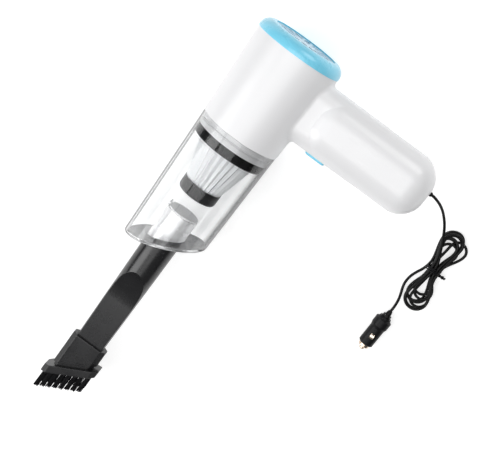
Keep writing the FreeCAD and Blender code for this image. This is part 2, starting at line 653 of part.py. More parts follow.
def button_and_switch():
    inner_face = HANDLE_FRONT - WALL
    half_width = 0.5 * BUTTON_WIDTH
    crown = HANDLE_FRONT + BUTTON_PROUD
    cap = box((inner_face - 1, crown), (BUTTON_START, BUTTON_START + BUTTON_LENGTH), (-half_width, half_width))
    cap = cap.makeFillet(BUTTON_ROUND, [e for e in cap.Edges if runs_along(e, ALONG_X)])
    rim = [e for e in cap.Edges if e.BoundBox.XMin > crown - 0.01]
    cap = cap.makeFillet(1.2, rim)
    flange_face = inner_face - BUTTON_FLANGE_GAP
    reach = BUTTON_FLANGE_REACH
    flange = box((flange_face - BUTTON_FLANGE, flange_face),
                 (BUTTON_START - reach, BUTTON_START + BUTTON_LENGTH + reach), (-half_width - reach, half_width + reach))
    stem = rod(BUTTON_STEM_RADIUS, SWITCH_FACE + 0.4, flange_face - 0.5, BUTTON_MIDDLE)
    button = joined([cap, flange, stem])

    half = 0.5 * SWITCH_LENGTH
    switch = box((SWITCH_BACK, SWITCH_FACE), (BUTTON_MIDDLE - half, BUTTON_MIDDLE + half),
                 (-0.5 * SWITCH_WIDTH, 0.5 * SWITCH_WIDTH))
    well_depth = BUTTON_TRAVEL + 0.6
    well = rod(BUTTON_STEM_RADIUS + 0.3, SWITCH_FACE - well_depth, SWITCH_FACE + PAST, BUTTON_MIDDLE)
    switch = switch.cut(well)
    for offset in (-TAB_OFFSET, TAB_OFFSET):
        tab_middle = BUTTON_MIDDLE + offset
        tab = box((SWITCH_BACK - TAB_REACH, SWITCH_BACK + 1),
                  (tab_middle - 0.5 * TAB_THICKNESS, tab_middle + 0.5 * TAB_THICKNESS), (-2.2, 2.2))
        switch = switch.fuse(tab)
    switch = switch.removeSplitter()
    spring = coil_spring(SWITCH_FACE, flange_face - BUTTON_FLANGE, BUTTON_STEM_RADIUS + 1.2, 0.3, 3, BUTTON_MIDDLE)
    return {"power_button": button, "switch_module": switch, "button_spring": spring}


# ---------------------------------------------------------------- motor and fan

def motor_screw_places():
    return [MOTOR_SCREW_OFFSET, -MOTOR_SCREW_OFFSET]


def motor():
    can_end = FAN_PLATE_START
    screw_holes = [rod(SCREW_RADIUS, can_end - 2, can_end + 1, y) for y in motor_screw_places()]
    can = turned([(CAN_START, CAN_RADIUS - CAN_WALL), (CAN_START, CAN_RADIUS), (can_end, CAN_RADIUS),
                  (can_end, BUSH_RADIUS), (can_end - CAN_WALL, BUSH_RADIUS),
                  (can_end - CAN_WALL, CAN_RADIUS - CAN_WALL)]).cut(screw_holes)
    cap_start = END_CAP_START
    end_cap = turned([(cap_start, BUSH_RADIUS), (cap_start, CAN_RADIUS), (CAN_START, CAN_RADIUS),
                      (CAN_START, CAN_RADIUS - CAN_WALL), (CAN_START + 2, CAN_RADIUS - CAN_WALL),
                      (CAN_START + 2, CAN_RADIUS - CAN_WALL - 2), (CAN_START, CAN_RADIUS - CAN_WALL - 2),
                      (CAN_START, BUSH_RADIUS)])
    terminals = [box((cap_start - 2.0, cap_start + 1), (TERMINAL_FACE - TERMINAL_LENGTH, TERMINAL_FACE),
                     (z - 0.4, z + 0.4)) for z in (-TERMINAL_SPREAD, TERMINAL_SPREAD)]
    end_cap = joined([end_cap] + terminals)

    bush_bore = SHAFT_RADIUS + PIN_GAP
    bushes = [tube(cap_start, CAN_START, BUSH_RADIUS, bush_bore),
              tube(can_end - 3.5, can_end + 0.5, BUSH_RADIUS, bush_bore)]
    magnet_outer = CAN_RADIUS - CAN_WALL
    magnet_ring = tube(CAN_START + 5, can_end - 8, magnet_outer, magnet_outer - MAGNET_THICKNESS)
    keep = box((0, can_end), (-30, 30), (4.5, 30))
    other = box((0, can_end), (-30, 30), (-30, -4.5))
    magnets = [magnet_ring.common(keep), magnet_ring.common(other)]

    cushion = tube(CUSHION_START, CUSHION_END, CUSHION_RADIUS, CAN_RADIUS)
    notches = around_axis(rod(1.5, CUSHION_START - PAST, CUSHION_END + PAST, CUSHION_RADIUS - 2.6), 12)
    cushion = cushion.cut(notches)
    return {"motor_can": can, "motor_end_cap": end_cap, "motor_bushes": group(bushes),
            "motor_magnets": group(magnets), "motor_cushion": cushion}


def rotor():
    shaft_start = END_CAP_START - 1.0
    fan_back = FAN_PLATE_END + IMPELLER_STANDOFF
    fan_front = fan_back + IMPELLER_DEPTH
    shaft = rod(SHAFT_RADIUS, shaft_start, fan_front - 2)

    stack = tube(CAN_START + 8, FAN_PLATE_START - 11, ARMATURE_RADIUS, SHAFT_RADIUS)
    slots = around_axis(box((0, FAN_PLATE_START), (ARMATURE_RADIUS - 6, ARMATURE_RADIUS + 1), (-1.2, 1.2)), 5)
    commutator = tube(CAN_START + 2.4, CAN_START + 8, 4.4, SHAFT_RADIUS)
    armature = stack.cut(slots).fuse(commutator).removeSplitter()

    hub = turned([(fan_back, SHAFT_RADIUS), (fan_back, IMPELLER_RADIUS), (fan_back + 1.4, IMPELLER_RADIUS),
                  (fan_back + 3.0, 7.0), (fan_front - 2, 3.6), (fan_front - 1, SHAFT_RADIUS)])
    blade = fan_blade(fan_back + 0.8, fan_front - 0.6)
    cover = tube(fan_front - 1.2, fan_front, IMPELLER_RADIUS, IMPELLER_EYE)
    impeller = joined([hub, cover] + around_axis(blade, IMPELLER_BLADES))
    return {"motor_shaft": shaft, "motor_armature": armature, "impeller": impeller}


def fan_blade(x_start, x_end):
    """Blade that sweeps back from the eye to the rim."""
    outer = IMPELLER_RADIUS - 0.2
    line = [(5.0, 0.0), (0.6 * outer, 2.2), (0.9 * outer, 8.6)]
    faces = [[V(x_start, y, z + offset) for y, z in line] for offset in (0.5, -0.5)]
    arcs = [Part.Arc(*points).toShape() for points in (faces[0], faces[1][::-1])]
    caps = [Part.LineSegment(faces[0][-1], faces[1][-1]).toShape(), Part.LineSegment(faces[1][0], faces[0][0]).toShape()]
    return Part.Face(Part.Wire([arcs[0], caps[0], arcs[1], caps[1]])).extrude(V(x_end - x_start, 0, 0))


def fan_case():
    """Diffuser plate behind the impeller and shroud round it."""
    plate_end = FAN_PLATE_END
    plate = tube(FAN_PLATE_START, plate_end, fan_plate_radius(), BUSH_RADIUS + 0.2)
    shroud_outer = COLLAR_BORE - SEAT_GAP
    slot = box((0, plate_end + 1), (CAN_RADIUS + 1.6, shroud_outer - SHROUD_WALL - 0.6), (-2.4, 2.4))
    plate = plate.cut(around_axis(slot, 10))
    plate = plate.cut([rod(SCREW_RADIUS, 0, plate_end + 1, y) for y in motor_screw_places()])
    front = GUARD_START
    shroud = turned([(plate_end, shroud_outer - SHROUD_WALL), (plate_end, shroud_outer), (front, shroud_outer),
                     (front, IMPELLER_EYE), (front - SHROUD_WALL, IMPELLER_EYE),
                     (front - SHROUD_WALL, shroud_outer - SHROUD_WALL)])
    screws = []
    for y in motor_screw_places():
        head = rod(1.9, plate_end, plate_end + 1.2, y)
        screws.append(head.fuse(rod(SCREW_RADIUS, FAN_PLATE_START - CAN_WALL, plate_end, y)))
    return {"fan_diffuser": plate, "fan_shroud": shroud, "motor_screws": group(screws)}


# ---------------------------------------------------------------- spigot, filter and cup

def collar_flange_radius():
    return barrel_radius(COLLAR_FLANGE_START) - 0.5 * WALL - SEAT_GAP


def spigot():
    outer = CUP_BORE - 3 * SEAT_GAP
    collar = turned([(COLLAR_START, COLLAR_BORE), (COLLAR_START, COLLAR_RADIUS),
                     (COLLAR_FLANGE_START, COLLAR_RADIUS), (COLLAR_FLANGE_START, collar_flange_radius()),
                     (COLLAR_FLANGE_END, collar_flange_radius()), (COLLAR_FLANGE_END, COLLAR_RADIUS),
                     (BARREL_END, COLLAR_RADIUS), (BARREL_END, outer), (SPIGOT_END, outer),
                     (SPIGOT_END, FILTER_FRAME_RADIUS), (GUARD_END, FILTER_FRAME_RADIUS), (GUARD_END, COLLAR_BORE)])
    groove_middle = 0.5 * (BARREL_END + SPIGOT_END)
    section = 0.5 * CUP_SEAL_SECTION
    seal_centre = CUP_BORE - SLIDE_GAP - section
    collar = collar.cut(tube(groove_middle - section - 0.05, groove_middle + section + 0.05, outer + PAST,
                             seal_centre - section))
    seal = Part.makeTorus(seal_centre, section, V(groove_middle, 0, 0), ALONG_X)
    guard = rod(COLLAR_BORE - SEAT_GAP, GUARD_START, GUARD_END)
    pitch = (COLLAR_BORE - GUARD_CORE - GUARD_RIM) / 3
    spokes = around_axis(box((0, GUARD_END + PAST), (0, COLLAR_BORE), (-0.9, 0.9)), 6)
    for step in range(3):
        inner = GUARD_CORE + step * pitch
        ring = tube(GUARD_START - PAST, GUARD_END + PAST, inner + pitch - GUARD_BAR, inner)
        guard = guard.cut(ring.cut(spokes))
    return {"spigot_collar": collar, "cup_seal": seal, "motor_guard": guard}


def pleated(x_start, x_end, r_start, r_end, depth):
    """Pleated cone between two star outlines."""
    stars = []
    for x, radius in ((x_start, r_start), (x_end, r_end)):
        corners = []
        for step in range(2 * FILTER_PLEATS):
            angle = math.pi * step / FILTER_PLEATS
            r = radius if step % 2 == 0 else radius - depth
            corners.append(V(x, r * math.cos(angle), r * math.sin(angle)))
        stars.append(Part.makePolygon(corners + corners[:1]))
    return Part.makeLoft(stars, True, True)


def filter_parts():
    seal_end = FILTER_SEAL_END
    seal_radius = CUP_BORE - 3 * SLIDE_GAP
    frame_radius = FILTER_FRAME_RADIUS
    mouth = FILTER_CONE_RADIUS - 2 * PLEAT_DEPTH + 0.2
    tip_start = FILTER_TIP_START
    tip_end = FILTER_TIP_END
    seal_back = SPIGOT_END + FACE_GAP
    frame_start = GUARD_END + 2
    seal = turned([(seal_back, frame_radius), (seal_back, seal_radius), (seal_end - 1.2, seal_radius - 0.3),
                   (seal_end, seal_radius - 1.4), (seal_end, frame_radius)])
    frame = turned([(frame_start, FILTER_FRAME_BORE), (frame_start, frame_radius - 2 * SLIDE_GAP),
                    (seal_back, frame_radius - 2 * SLIDE_GAP), (seal_back, frame_radius), (seal_end, frame_radius),
                    (seal_end, mouth), (seal_end - 1.5, mouth), (seal_end - 1.5, FILTER_FRAME_BORE)])
    r = FILTER_TIP_RADIUS
    lip_start = tip_start - TIP_LIP_SHARE * (tip_start - seal_end)
    pleat_end_radius = r - 0.8
    pleats = pleated(seal_end, tip_start, FILTER_CONE_RADIUS, pleat_end_radius, PLEAT_DEPTH)
    pleats = pleats.cut(pleated(seal_end - 0.01, tip_start + 0.01, FILTER_CONE_RADIUS - PLEAT_WALL,
                                pleat_end_radius - PLEAT_WALL, PLEAT_DEPTH))
    tip = turned([(tip_start, 0), (tip_start, r - 0.7), (lip_start, r - 0.3), (lip_start, r),
                  (tip_end - 2.4, r), (tip_end - 0.7, r - 0.9), (tip_end, r - 2.8), (tip_end, r - 6.0),
                  (tip_end - 1.6, r - 6.8), (tip_end - 1.6, 0)])
    return {"filter_seal": seal, "filter_frame": frame, "filter_pleats": pleats, "filter_tip_cup": tip}


def cup_radius(x):
    share = (x - BARREL_END) / (CUP_BOTTOM - BARREL_END)
    return CUP_RIM_RADIUS + share * (CUP_FOOT_RADIUS - CUP_RIM_RADIUS)


def behind_slant(x_on_axis, slant):
    """Everything between x = 0 and a plane that leans by slant."""
    return prism(square(60), x_on_axis - 300, 300, slant)


def cup():
    rim = BARREL_END + FACE_GAP
    far = CUP_BOTTOM + 40
    outer = cone(rim, far, cup_radius(rim), cup_radius(far)).common(behind_slant(CUP_BOTTOM, CUP_SLANT))
    foot = [e for e in outer.Edges if e.BoundBox.XMin > CUP_BOTTOM - 20 and not runs_along(e, ALONG_X)]
    outer = outer.makeFillet(CUP_FOOT_ROUND, foot)
    socket = rod(CUP_BORE, rim - PAST, CUP_SOCKET_END)
    wall_start = CUP_SOCKET_END - 1
    inner = cone(wall_start, far, cup_radius(CUP_SOCKET_END) - CUP_WALL, cup_radius(far) - CUP_WALL)
    inner = inner.common(behind_slant(CUP_BOTTOM - CUP_BASE, CUP_SLANT))
    cup_shell = outer.cut(socket).cut(inner).cut(rod(INLET_RADIUS, CUP_BOTTOM - 40, far))

    inlet = rod(INLET_RADIUS, INLET_TOP, far).common(behind_slant(CUP_BOTTOM, CUP_SLANT))
    inlet = inlet.cut(rod(INLET_RADIUS - INLET_WALL, INLET_TOP - PAST, far))
    for z_range in ((3.2, 5.2), (-5.2, -3.2)):
        inlet = inlet.fuse(box((FLAP_PIN_X - 1.6, INLET_TOP + 0.6), (FLAP_PIN_Y - 0.7, FLAP_PIN_Y + 0.7), z_range))
    inlet = inlet.removeSplitter()
    pin = post(FLAP_PIN_RADIUS, FLAP_PIN_X, FLAP_PIN_Y, -5.6, 5.6)
    inlet = inlet.cut(pin)
    disc = rod(INLET_RADIUS - 0.4, FLAP_START, FLAP_END)
    disc = disc.cut(box((0, far), (-2 * INLET_RADIUS, FLAP_PIN_Y + 1.6), (-2 * INLET_RADIUS, 2 * INLET_RADIUS)))
    tab = box((FLAP_START, FLAP_END), (FLAP_PIN_Y, FLAP_PIN_Y + 3), (-3.0, 3.0))
    knuckle = post(FLAP_PIN_RADIUS + 0.5, FLAP_PIN_X, FLAP_PIN_Y, -3.0, 3.0)
    flap = joined([disc, tab, knuckle])
    flap = flap.cut(post(FLAP_PIN_RADIUS + PIN_GAP, FLAP_PIN_X, FLAP_PIN_Y, -9, 9))
    return {"dust_cup": cup_shell, "inlet_tube": inlet, "flap_pin": pin, "inlet_flap": flap}


# ---------------------------------------------------------------- nozzle and brush

def nozzle_radius(x):
    """Outer radius of the nozzle's round part at a place along the axis."""
    share = (x - CUP_BOTTOM) / (NOZZLE_TIP - CUP_BOTTOM)
    return NOZZLE_RADIUS + share * (NOZZLE_TIP_RADIUS - NOZZLE_RADIUS)


def facet_body(x_start, x_end, inset):
    """Space between the nozzle's two flats, which curve in and then run level."""
    level = NOZZLE_HALF_DEPTH - inset
    rise = NOZZLE_RADIUS + 2 - level
    span = math.sqrt(2 * NOZZLE_FACET_RADIUS * rise - rise ** 2)
    half_rise = NOZZLE_FACET_RADIUS - math.sqrt(NOZZLE_FACET_RADIUS ** 2 - 0.25 * span ** 2)
    arc_start = NOZZLE_FLAT_START - span
    y = -40
    edges = []
    for side in (1, -1):
        back = V(x_start, y, side * (level + rise))
        far = V(arc_start, y, side * (level + rise))
        middle = V(arc_start + 0.5 * span, y, side * (level + half_rise))
        near = V(NOZZLE_FLAT_START, y, side * level)
        edges.append(Part.LineSegment(back, far).toShape())
        edges.append(Part.Arc(far, middle, near).toShape())
        edges.append(Part.LineSegment(near, V(x_end, y, side * level)).toShape())
    edges.append(Part.LineSegment(V(x_end, y, level), V(x_end, y, -level)).toShape())
    edges.append(Part.LineSegment(V(x_start, y, level + rise), V(x_start, y, -level - rise)).toShape())
    outline = Part.Wire(Part.__sortEdges__(edges))
    return Part.Face(outline).extrude(V(0, 80, 0))


def is_facet_edge(edge):
    """True on the outline of the nozzle's flats, where they leave its round sides."""
    middle = edge.valueAt(0.5 * (edge.FirstParameter + edge.LastParameter))
    on_round = abs(math.hypot(middle.y, middle.z) - nozzle_radius(middle.x)) < 0.02
    return on_round and CUP_BOTTOM + 20 < middle.x < NOZZLE_TIP + 20 and edge.Length > 20


def nozzle():
    shoulder = CUP_BOTTOM + FACE_GAP
    body_start = shoulder - 20
    far = NOZZLE_TIP + 12
    ahead = prism(square(60), shoulder, 400, CUP_SLANT)
    body = cone(body_start, far, nozzle_radius(body_start), nozzle_radius(far)).common(ahead)
    body = body.common(facet_body(body_start - 5, far + 5, 0)).common(behind_slant(NOZZLE_TIP, BRUSH_SLANT))
    body = body.makeFillet(NOZZLE_EDGE_ROUND, [e for e in body.Edges if is_facet_edge(e)])
    plug_radius = INLET_RADIUS - INLET_WALL - SLIDE_GAP
    spigot_start = INLET_TOP + NOZZLE_SPIGOT_GAP
    plug = rod(plug_radius, spigot_start, CUP_BOTTOM + SPIGOT_DEPTH)
    outer = joined([body, plug])
    bore = plug_radius - NOZZLE_WALL
    channel = cone(spigot_start - PAST, far + 1, bore, nozzle_radius(far + 1) - NOZZLE_WALL)
    channel = channel.common(facet_body(spigot_start - 4, far + 4, NOZZLE_WALL))
    return {"crevice_nozzle": outer.cut(channel)}


def brush():
    skirt = prism(octagon(BRUSH_WIDTH, BRUSH_DEPTH, BRUSH_CHAMFER), BRUSH_START, 80)
    skirt = skirt.common(behind_slant(BRUSH_SKIRT_END, BRUSH_SLANT))
    neck_outline = octagon(BRUSH_WIDTH - 2 * NECK_STEP, BRUSH_DEPTH - 2 * NECK_STEP, BRUSH_CHAMFER - 1)
    neck = prism(neck_outline, BRUSH_SKIRT_END - 1, NECK_LENGTH + 2, BRUSH_SLANT)
    flange = prism(octagon(FLANGE_WIDTH, FLANGE_DEPTH, BRUSH_CHAMFER), FLANGE_START, FLANGE_LENGTH, BRUSH_SLANT)
    skirt = skirt.makeFillet(BRUSH_EDGE_ROUND, skirt.Edges)
    flange = flange.makeFillet(BRUSH_EDGE_ROUND, flange.Edges)
    sleeve = joined([skirt, neck, flange])
    panel_half = 0.5 * BRUSH_WIDTH - BRUSH_CHAMFER - 0.3 * PANEL_MARGIN
    panel = box((BRUSH_START + PANEL_MARGIN, 400), (-panel_half, panel_half), (-BRUSH_DEPTH, BRUSH_DEPTH))
    panel = panel.common(behind_slant(BRUSH_SKIRT_END - PANEL_MARGIN, BRUSH_SLANT))
    panel_floor = 0.5 * BRUSH_DEPTH - PANEL_DEPTH
    panel = panel.cut(box((0, 400), (-60, 60), (-panel_floor, panel_floor)))
    sleeve = sleeve.cut(panel)

    far = NOZZLE_TIP + 12
    socket = rod(nozzle_radius(BRUSH_START) + SLIDE_GAP, BRUSH_START - PAST, far)
    level = NOZZLE_HALF_DEPTH + SLIDE_GAP
    socket = socket.common(box((0, 400), (-60, 60), (-level, level)))
    socket = socket.common(behind_slant(NOZZLE_TIP + FACE_GAP, BRUSH_SLANT))
    throat_width = NOZZLE_TIP_RADIUS - 2
    throat = box((NOZZLE_TIP - 12, 400), (-throat_width, throat_width), (-THROAT_HALF, THROAT_HALF))
    sleeve = sleeve.cut(socket).cut(throat)

    tufts = []
    for row in (1, -1):
        for step in range(TUFTS):
            y = (step - 0.5 * (TUFTS - 1)) * TUFT_PITCH
            z = row * TUFT_ROW
            root = FLANGE_END - BRUSH_SLANT * y - TUFT_ROOT
            tip = TUFT_TIP - BRUSH_SLANT * y
            tufts.append(box((root, tip), (y - 0.5 * TUFT_WIDTH, y + 0.5 * TUFT_WIDTH),
                             (z - 0.5 * TUFT_DEPTH, z + 0.5 * TUFT_DEPTH)))
    return {"brush_sleeve": sleeve.cut(tufts), "brush_bristles": group(tufts)}


# ---------------------------------------------------------------- wiring, cord and plug

def cord_entry():
    y_in = HANDLE_END - WALL - GLAND_SEAT_GAP
    profile = [(y_in - 1.6, CORD_RADIUS), (y_in - 1.6, GLAND_COLLAR), (y_in, GLAND_COLLAR), (y_in, GLAND_RADIUS),
               (HANDLE_END + 0.4, GLAND_RADIUS), (GLAND_END, CORD_RADIUS + GLAND_TIP_WALL), (GLAND_END, CORD_RADIUS)]
    corners = [V(GLAND_X + r, y, 0) for y, r in profile]
    outline = Part.makePolygon(corners + corners[:1])
    gland = Part.Face(outline).revolve(V(GLAND_X, 0, 0), ALONG_Y, 360)
    tail = Part.makeCylinder(CORD_RADIUS, GLAND_END - TAIL_START, V(GLAND_X, TAIL_START, 0), ALONG_Y)

    bar = box((GLAND_X - 11.5, GLAND_X + 11.5), (CLAMP_Y - 3.2, CLAMP_Y + 3.2), (-CLAMP_SEAT, CLAMP_TOP))
    cord_way = Part.makeCylinder(CORD_RADIUS, 20, V(GLAND_X, CLAMP_Y - 10, 0), ALONG_Y)
    under = box((GLAND_X - CORD_RADIUS, GLAND_X + CORD_RADIUS), (CLAMP_Y - 10, CLAMP_Y + 10), (-CLAMP_SEAT, 0))
    holes = [post(SCREW_RADIUS, x, CLAMP_Y, -5, 5) for x in clamp_screw_places()]
    bar = bar.cut([cord_way, under] + holes)
    screws = [screw(x, CLAMP_Y, CLAMP_TOP, -CLAMP_SEAT - 5, False) for x in clamp_screw_places()]
    return {"cord_gland": gland, "supply_tail": tail, "cord_clamp": bar, "clamp_screws": group(screws)}


def wiring():
    """Three insulated cores inside the housing."""
    tab_x = SWITCH_BACK - 0.5 * TAB_REACH
    tab_face = TAB_OFFSET + 0.5 * TAB_THICKNESS
    terminal_x = END_CAP_START - 1.0
    side_by_side = 0.55
    low = -TERMINAL_SPREAD
    span = TAIL_START - GRIP_START
    rear = HANDLE_REAR + WALL
    supply = [(GLAND_X + side_by_side, TAIL_START, 0.0), (GLAND_X + side_by_side, TAIL_START - 0.1 * span, 0.0),
              (GLAND_X + 4.0, TAIL_START - 0.27 * span, 1.4), (GLAND_X + 6.6, TAIL_START - 0.44 * span, 1.0),
              (tab_x, BUTTON_MIDDLE + 14.4, 0.0), (tab_x, BUTTON_MIDDLE + tab_face, 0.0)]
    back_core = [(GLAND_X - side_by_side, TAIL_START, 0.0), (GLAND_X - side_by_side, TAIL_START - 0.1 * span, 0.0),
                 (GLAND_X - 1.4, TAIL_START - 0.28 * span, -2.6), (GLAND_X - 2.0, TAIL_START - 0.48 * span, low),
                 (GLAND_X - 2.8, GRIP_START + 0.33 * span, low - 0.2), (GLAND_X - 6.4, GRIP_START + 0.154 * span, low),
                 (rear + 2.8, GRIP_START + 1.6, low), (END_CAP_START + 1.6, CAN_RADIUS + 9.0, low),
                 (terminal_x, TERMINAL_FACE + 8.6, low), (terminal_x, TERMINAL_FACE, low)]
    switched = [(tab_x, BUTTON_MIDDLE - tab_face, 0.0), (tab_x, GRIP_START + 10.6, 0.0),
                (tab_x - 6.0, GRIP_START + 5.4, 1.8), (tab_x - 14.2, GRIP_START + 2.8, 3.2),
                (rear + 2.6, GRIP_START, -low), (END_CAP_START + 1.6, CAN_RADIUS + 8.6, -low),
                (terminal_x, TERMINAL_FACE + 8.2, -low), (terminal_x, TERMINAL_FACE, -low)]
    return {"supply_core": flexible_tube(supply, CORE_RADIUS, "supply_core"),
            "return_core": flexible_tube(back_core, CORE_RADIUS, "return_core"),
            "switched_core": flexible_tube(switched, CORE_RADIUS, "switched_core")}


def cord():
    z_range = (TABLE, TABLE + HANK_HEIGHT)
    lobes = []
    for x, y, half_length, half_width in HANK_LOBES:
        ellipse = Part.Ellipse(V(x, y, z_range[0]), half_length, half_width).toShape()
        lobe = Part.Face(Part.Wire(ellipse)).extrude(V(0, 0, HANK_HEIGHT))
        lobes.append(lobe)
    waist = box(HANK_WAIST_X, HANK_WAIST_Y, (TABLE + TIE_THICKNESS, TABLE + HANK_HEIGHT - TIE_THICKNESS))
    hank = joined(lobes + [waist])
    tie = box(TIE_X, (HANK_WAIST_Y[0] - TIE_THICKNESS, HANK_WAIST_Y[1] + TIE_THICKNESS), z_range).cut(waist)
    return {"cord_lead": flexible_tube(LEAD_ROUTE, CORD_RADIUS, "cord_lead"), "cord_hank": hank, "hank_tie": tie,
            "plug_lead": flexible_tube(PLUG_ROUTE, CORD_RADIUS, "plug_lead")}


def plug():
    r = PLUG_GRIP_RADIUS
    relief = turned([(PLUG_START, 0), (PLUG_START, 1.7), (PLUG_GRIP_START - 2.2, 2.5), (PLUG_GRIP_START - 2.2, 3.5),
                     (PLUG_GRIP_START, 3.5), (PLUG_GRIP_START, 0)], PLUG_Y, PLUG_Z)
    body = turned([(PLUG_GRIP_START, 0), (PLUG_GRIP_START, r - 2.0), (PLUG_GRIP_START + 1.4, r - 1.6),
                   (PLUG_GRIP_START + 2.6, r), (PLUG_GRIP_START + 8.4, r), (PLUG_BARREL_START - 1.2, PLUG_BARREL_RADIUS),
                   (PLUG_BARREL_END - 1.0, PLUG_BARREL_RADIUS), (PLUG_BARREL_END, PLUG_BARREL_RADIUS - 1.0),
                   (PLUG_BARREL_END, PLUG_BORE), (PLUG_BORE_START, PLUG_BORE), (PLUG_BORE_START, 0)], PLUG_Y, PLUG_Z)
    ring_bore = TIP_RADIUS + SLIDE_GAP
    ring = turned([(PLUG_BARREL_END, ring_bore), (PLUG_BARREL_END, PLUG_RING_RADIUS),
                   (PLUG_RING_END - 0.6, PLUG_RING_RADIUS), (PLUG_RING_END, PLUG_RING_RADIUS - 0.6),
                   (PLUG_RING_END, ring_bore)], PLUG_Y, PLUG_Z)
    flange_end = PLUG_BARREL_END - SEAT_GAP
    flange_start = flange_end - 1.6
    flange_radius = PLUG_BORE - 0.2
    tip_end = PLUG_RING_END + PLUG_TIP_REACH
    tip = turned([(flange_start, 0), (flange_start, flange_radius), (flange_end, flange_radius),
                  (flange_end, TIP_RADIUS), (tip_end - 1.4, TIP_RADIUS), (tip_end - 0.4, TIP_RADIUS - 0.8),
                  (tip_end, TIP_RADIUS - 1.8), (tip_end, 0)], PLUG_Y, PLUG_Z)
    fuse_start = PLUG_BORE_START + PLUG_SPRING_LENGTH
    fuse = rod(FUSE_RADIUS, fuse_start, flange_start, PLUG_Y, PLUG_Z)
    spring = coil_spring(PLUG_BORE_START, fuse_start, 1.9, 0.3, 3, PLUG_Y, PLUG_Z)
    contacts = []
    contact_start = PLUG_BARREL_START + 3.0
    contact_end = PLUG_BARREL_START + 9.0
    contact_y = PLUG_Y - 0.5 * CONTACT_WIDTH
    for side in (1, -1):
        foot = PLUG_Z + side * (PLUG_BARREL_RADIUS - 0.9)
        crown = PLUG_Z + side * (PLUG_BARREL_RADIUS + 0.5)
        path = [V(contact_start, contact_y, foot), V(0.5 * (contact_start + contact_end), contact_y, crown),
                V(contact_end, contact_y, foot)]
        bow = Part.Wire([Part.Arc(*path).toShape(), Part.LineSegment(path[2], path[0]).toShape()])
        contacts.append(Part.Face(bow).extrude(V(0, CONTACT_WIDTH, 0)))
    return {"plug_strain_relief": relief, "plug_body": body.cut(contacts), "plug_nose_ring": ring,
            "plug_tip_contact": tip, "plug_fuse": fuse, "plug_spring": spring,
            "plug_side_springs": group(contacts)}


# ---------------------------------------------------------------- save

def to_stand():
    """Move from the tool frame to the stand frame."""
    first_tuft = -0.5 * (TUFTS - 1) * TUFT_PITCH
    longest = TUFT_TIP - BRUSH_SLANT * first_tuft
    return V(-0.5 * longest, -0.5 * (HANDLE_END - RING_RADIUS), RING_RADIUS)


def main():
    os.makedirs("parts", exist_ok=True)
    nodes = {}
    for make in (exhaust_end, housing, button_and_switch, motor, rotor, fan_case, spigot, filter_parts, cup,
                 nozzle, brush, cord_entry, wiring, cord, plug):
        nodes.update(make())
    shift = to_stand()
    print("stand frame shift", [round(value, 3) for value in shift])
    for name, shape in nodes.items():
        placed = shape.copy()
        placed.translate(shift)
        if not placed.isValid() or placed.Volume <= 0:
            print("CHECK", name, "valid", placed.isValid(), "volume", placed.Volume)
        placed.exportStep(os.path.join("parts", name + ".step"))
    print(len(nodes), "nodes")


main()
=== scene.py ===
import math
import random

import bpy
from bpy.props import FloatProperty, FloatVectorProperty, IntProperty, PointerProperty
from mathutils import Matrix, Vector


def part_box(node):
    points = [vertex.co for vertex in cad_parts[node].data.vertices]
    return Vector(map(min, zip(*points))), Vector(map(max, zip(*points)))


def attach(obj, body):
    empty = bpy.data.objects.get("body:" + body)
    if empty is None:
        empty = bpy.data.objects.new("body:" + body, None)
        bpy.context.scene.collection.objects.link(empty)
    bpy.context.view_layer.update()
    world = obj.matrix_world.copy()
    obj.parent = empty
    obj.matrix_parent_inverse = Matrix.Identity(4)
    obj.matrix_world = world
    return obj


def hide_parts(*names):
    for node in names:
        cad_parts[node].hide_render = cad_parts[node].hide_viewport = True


bl_info = {
    "name": "Handheld vacuum",
    "version": (1, 0, 0),
    "blender": (4, 5, 0),
    "location": "View3D > Sidebar > Handheld vacuum",
    "description": "Builds the looks of a corded handheld vacuum around its packed frame",
    "category": "Object",
}

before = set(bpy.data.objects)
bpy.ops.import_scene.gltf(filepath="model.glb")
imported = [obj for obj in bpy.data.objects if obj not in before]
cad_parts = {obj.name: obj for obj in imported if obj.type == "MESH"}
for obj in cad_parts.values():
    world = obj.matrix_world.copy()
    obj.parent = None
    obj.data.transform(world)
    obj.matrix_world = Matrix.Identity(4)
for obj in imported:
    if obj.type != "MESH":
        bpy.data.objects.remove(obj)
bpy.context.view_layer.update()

# ---------------------------------------------------------------- places, in metres
# The tool lies on its side. Tool places are given from the middle of the exhaust face: X along
# the suction axis towards the nozzle, Y along the handle, Z up.

RING_LOW, RING_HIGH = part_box("exhaust_ring")
EXHAUST_FACE = Vector((RING_LOW.x, 0.5 * (RING_LOW.y + RING_HIGH.y), 0.5 * (RING_LOW.z + RING_HIGH.z)))
TABLE = 0.0


def at(x, y, z):
    """A tool place in the frame of the stand."""
    return EXHAUST_FACE + Vector((x, y, z))


# ---------------------------------------------------------------- settings

class StageSettings(bpy.types.PropertyGroup):
    floor_colour: FloatVectorProperty(
        name="Floor colour", description="Colour of the table", subtype="COLOR", size=3,
        min=0, max=1, default=(0.62, 0.62, 0.62))
    floor_glow: FloatProperty(
        name="Floor glow", description="Light that the table gives off, as a lit table does",
        min=0, default=0.60)
    key_power: FloatProperty(
        name="Key light", description="Power of the large soft light past the nozzle, away from the handle",
        unit="POWER", min=0, default=8.5)
    top_power: FloatProperty(
        name="Top light", description="Power of the soft light straight above",
        unit="POWER", min=0, default=9.0)
    fill_power: FloatProperty(
        name="Fill light", description="Power of the weak light that reaches the exhaust face",
        unit="POWER", min=0, default=1.6)
    room_light: FloatProperty(
        name="Room light", description="Strength of the light from all round", min=0, default=0.14)


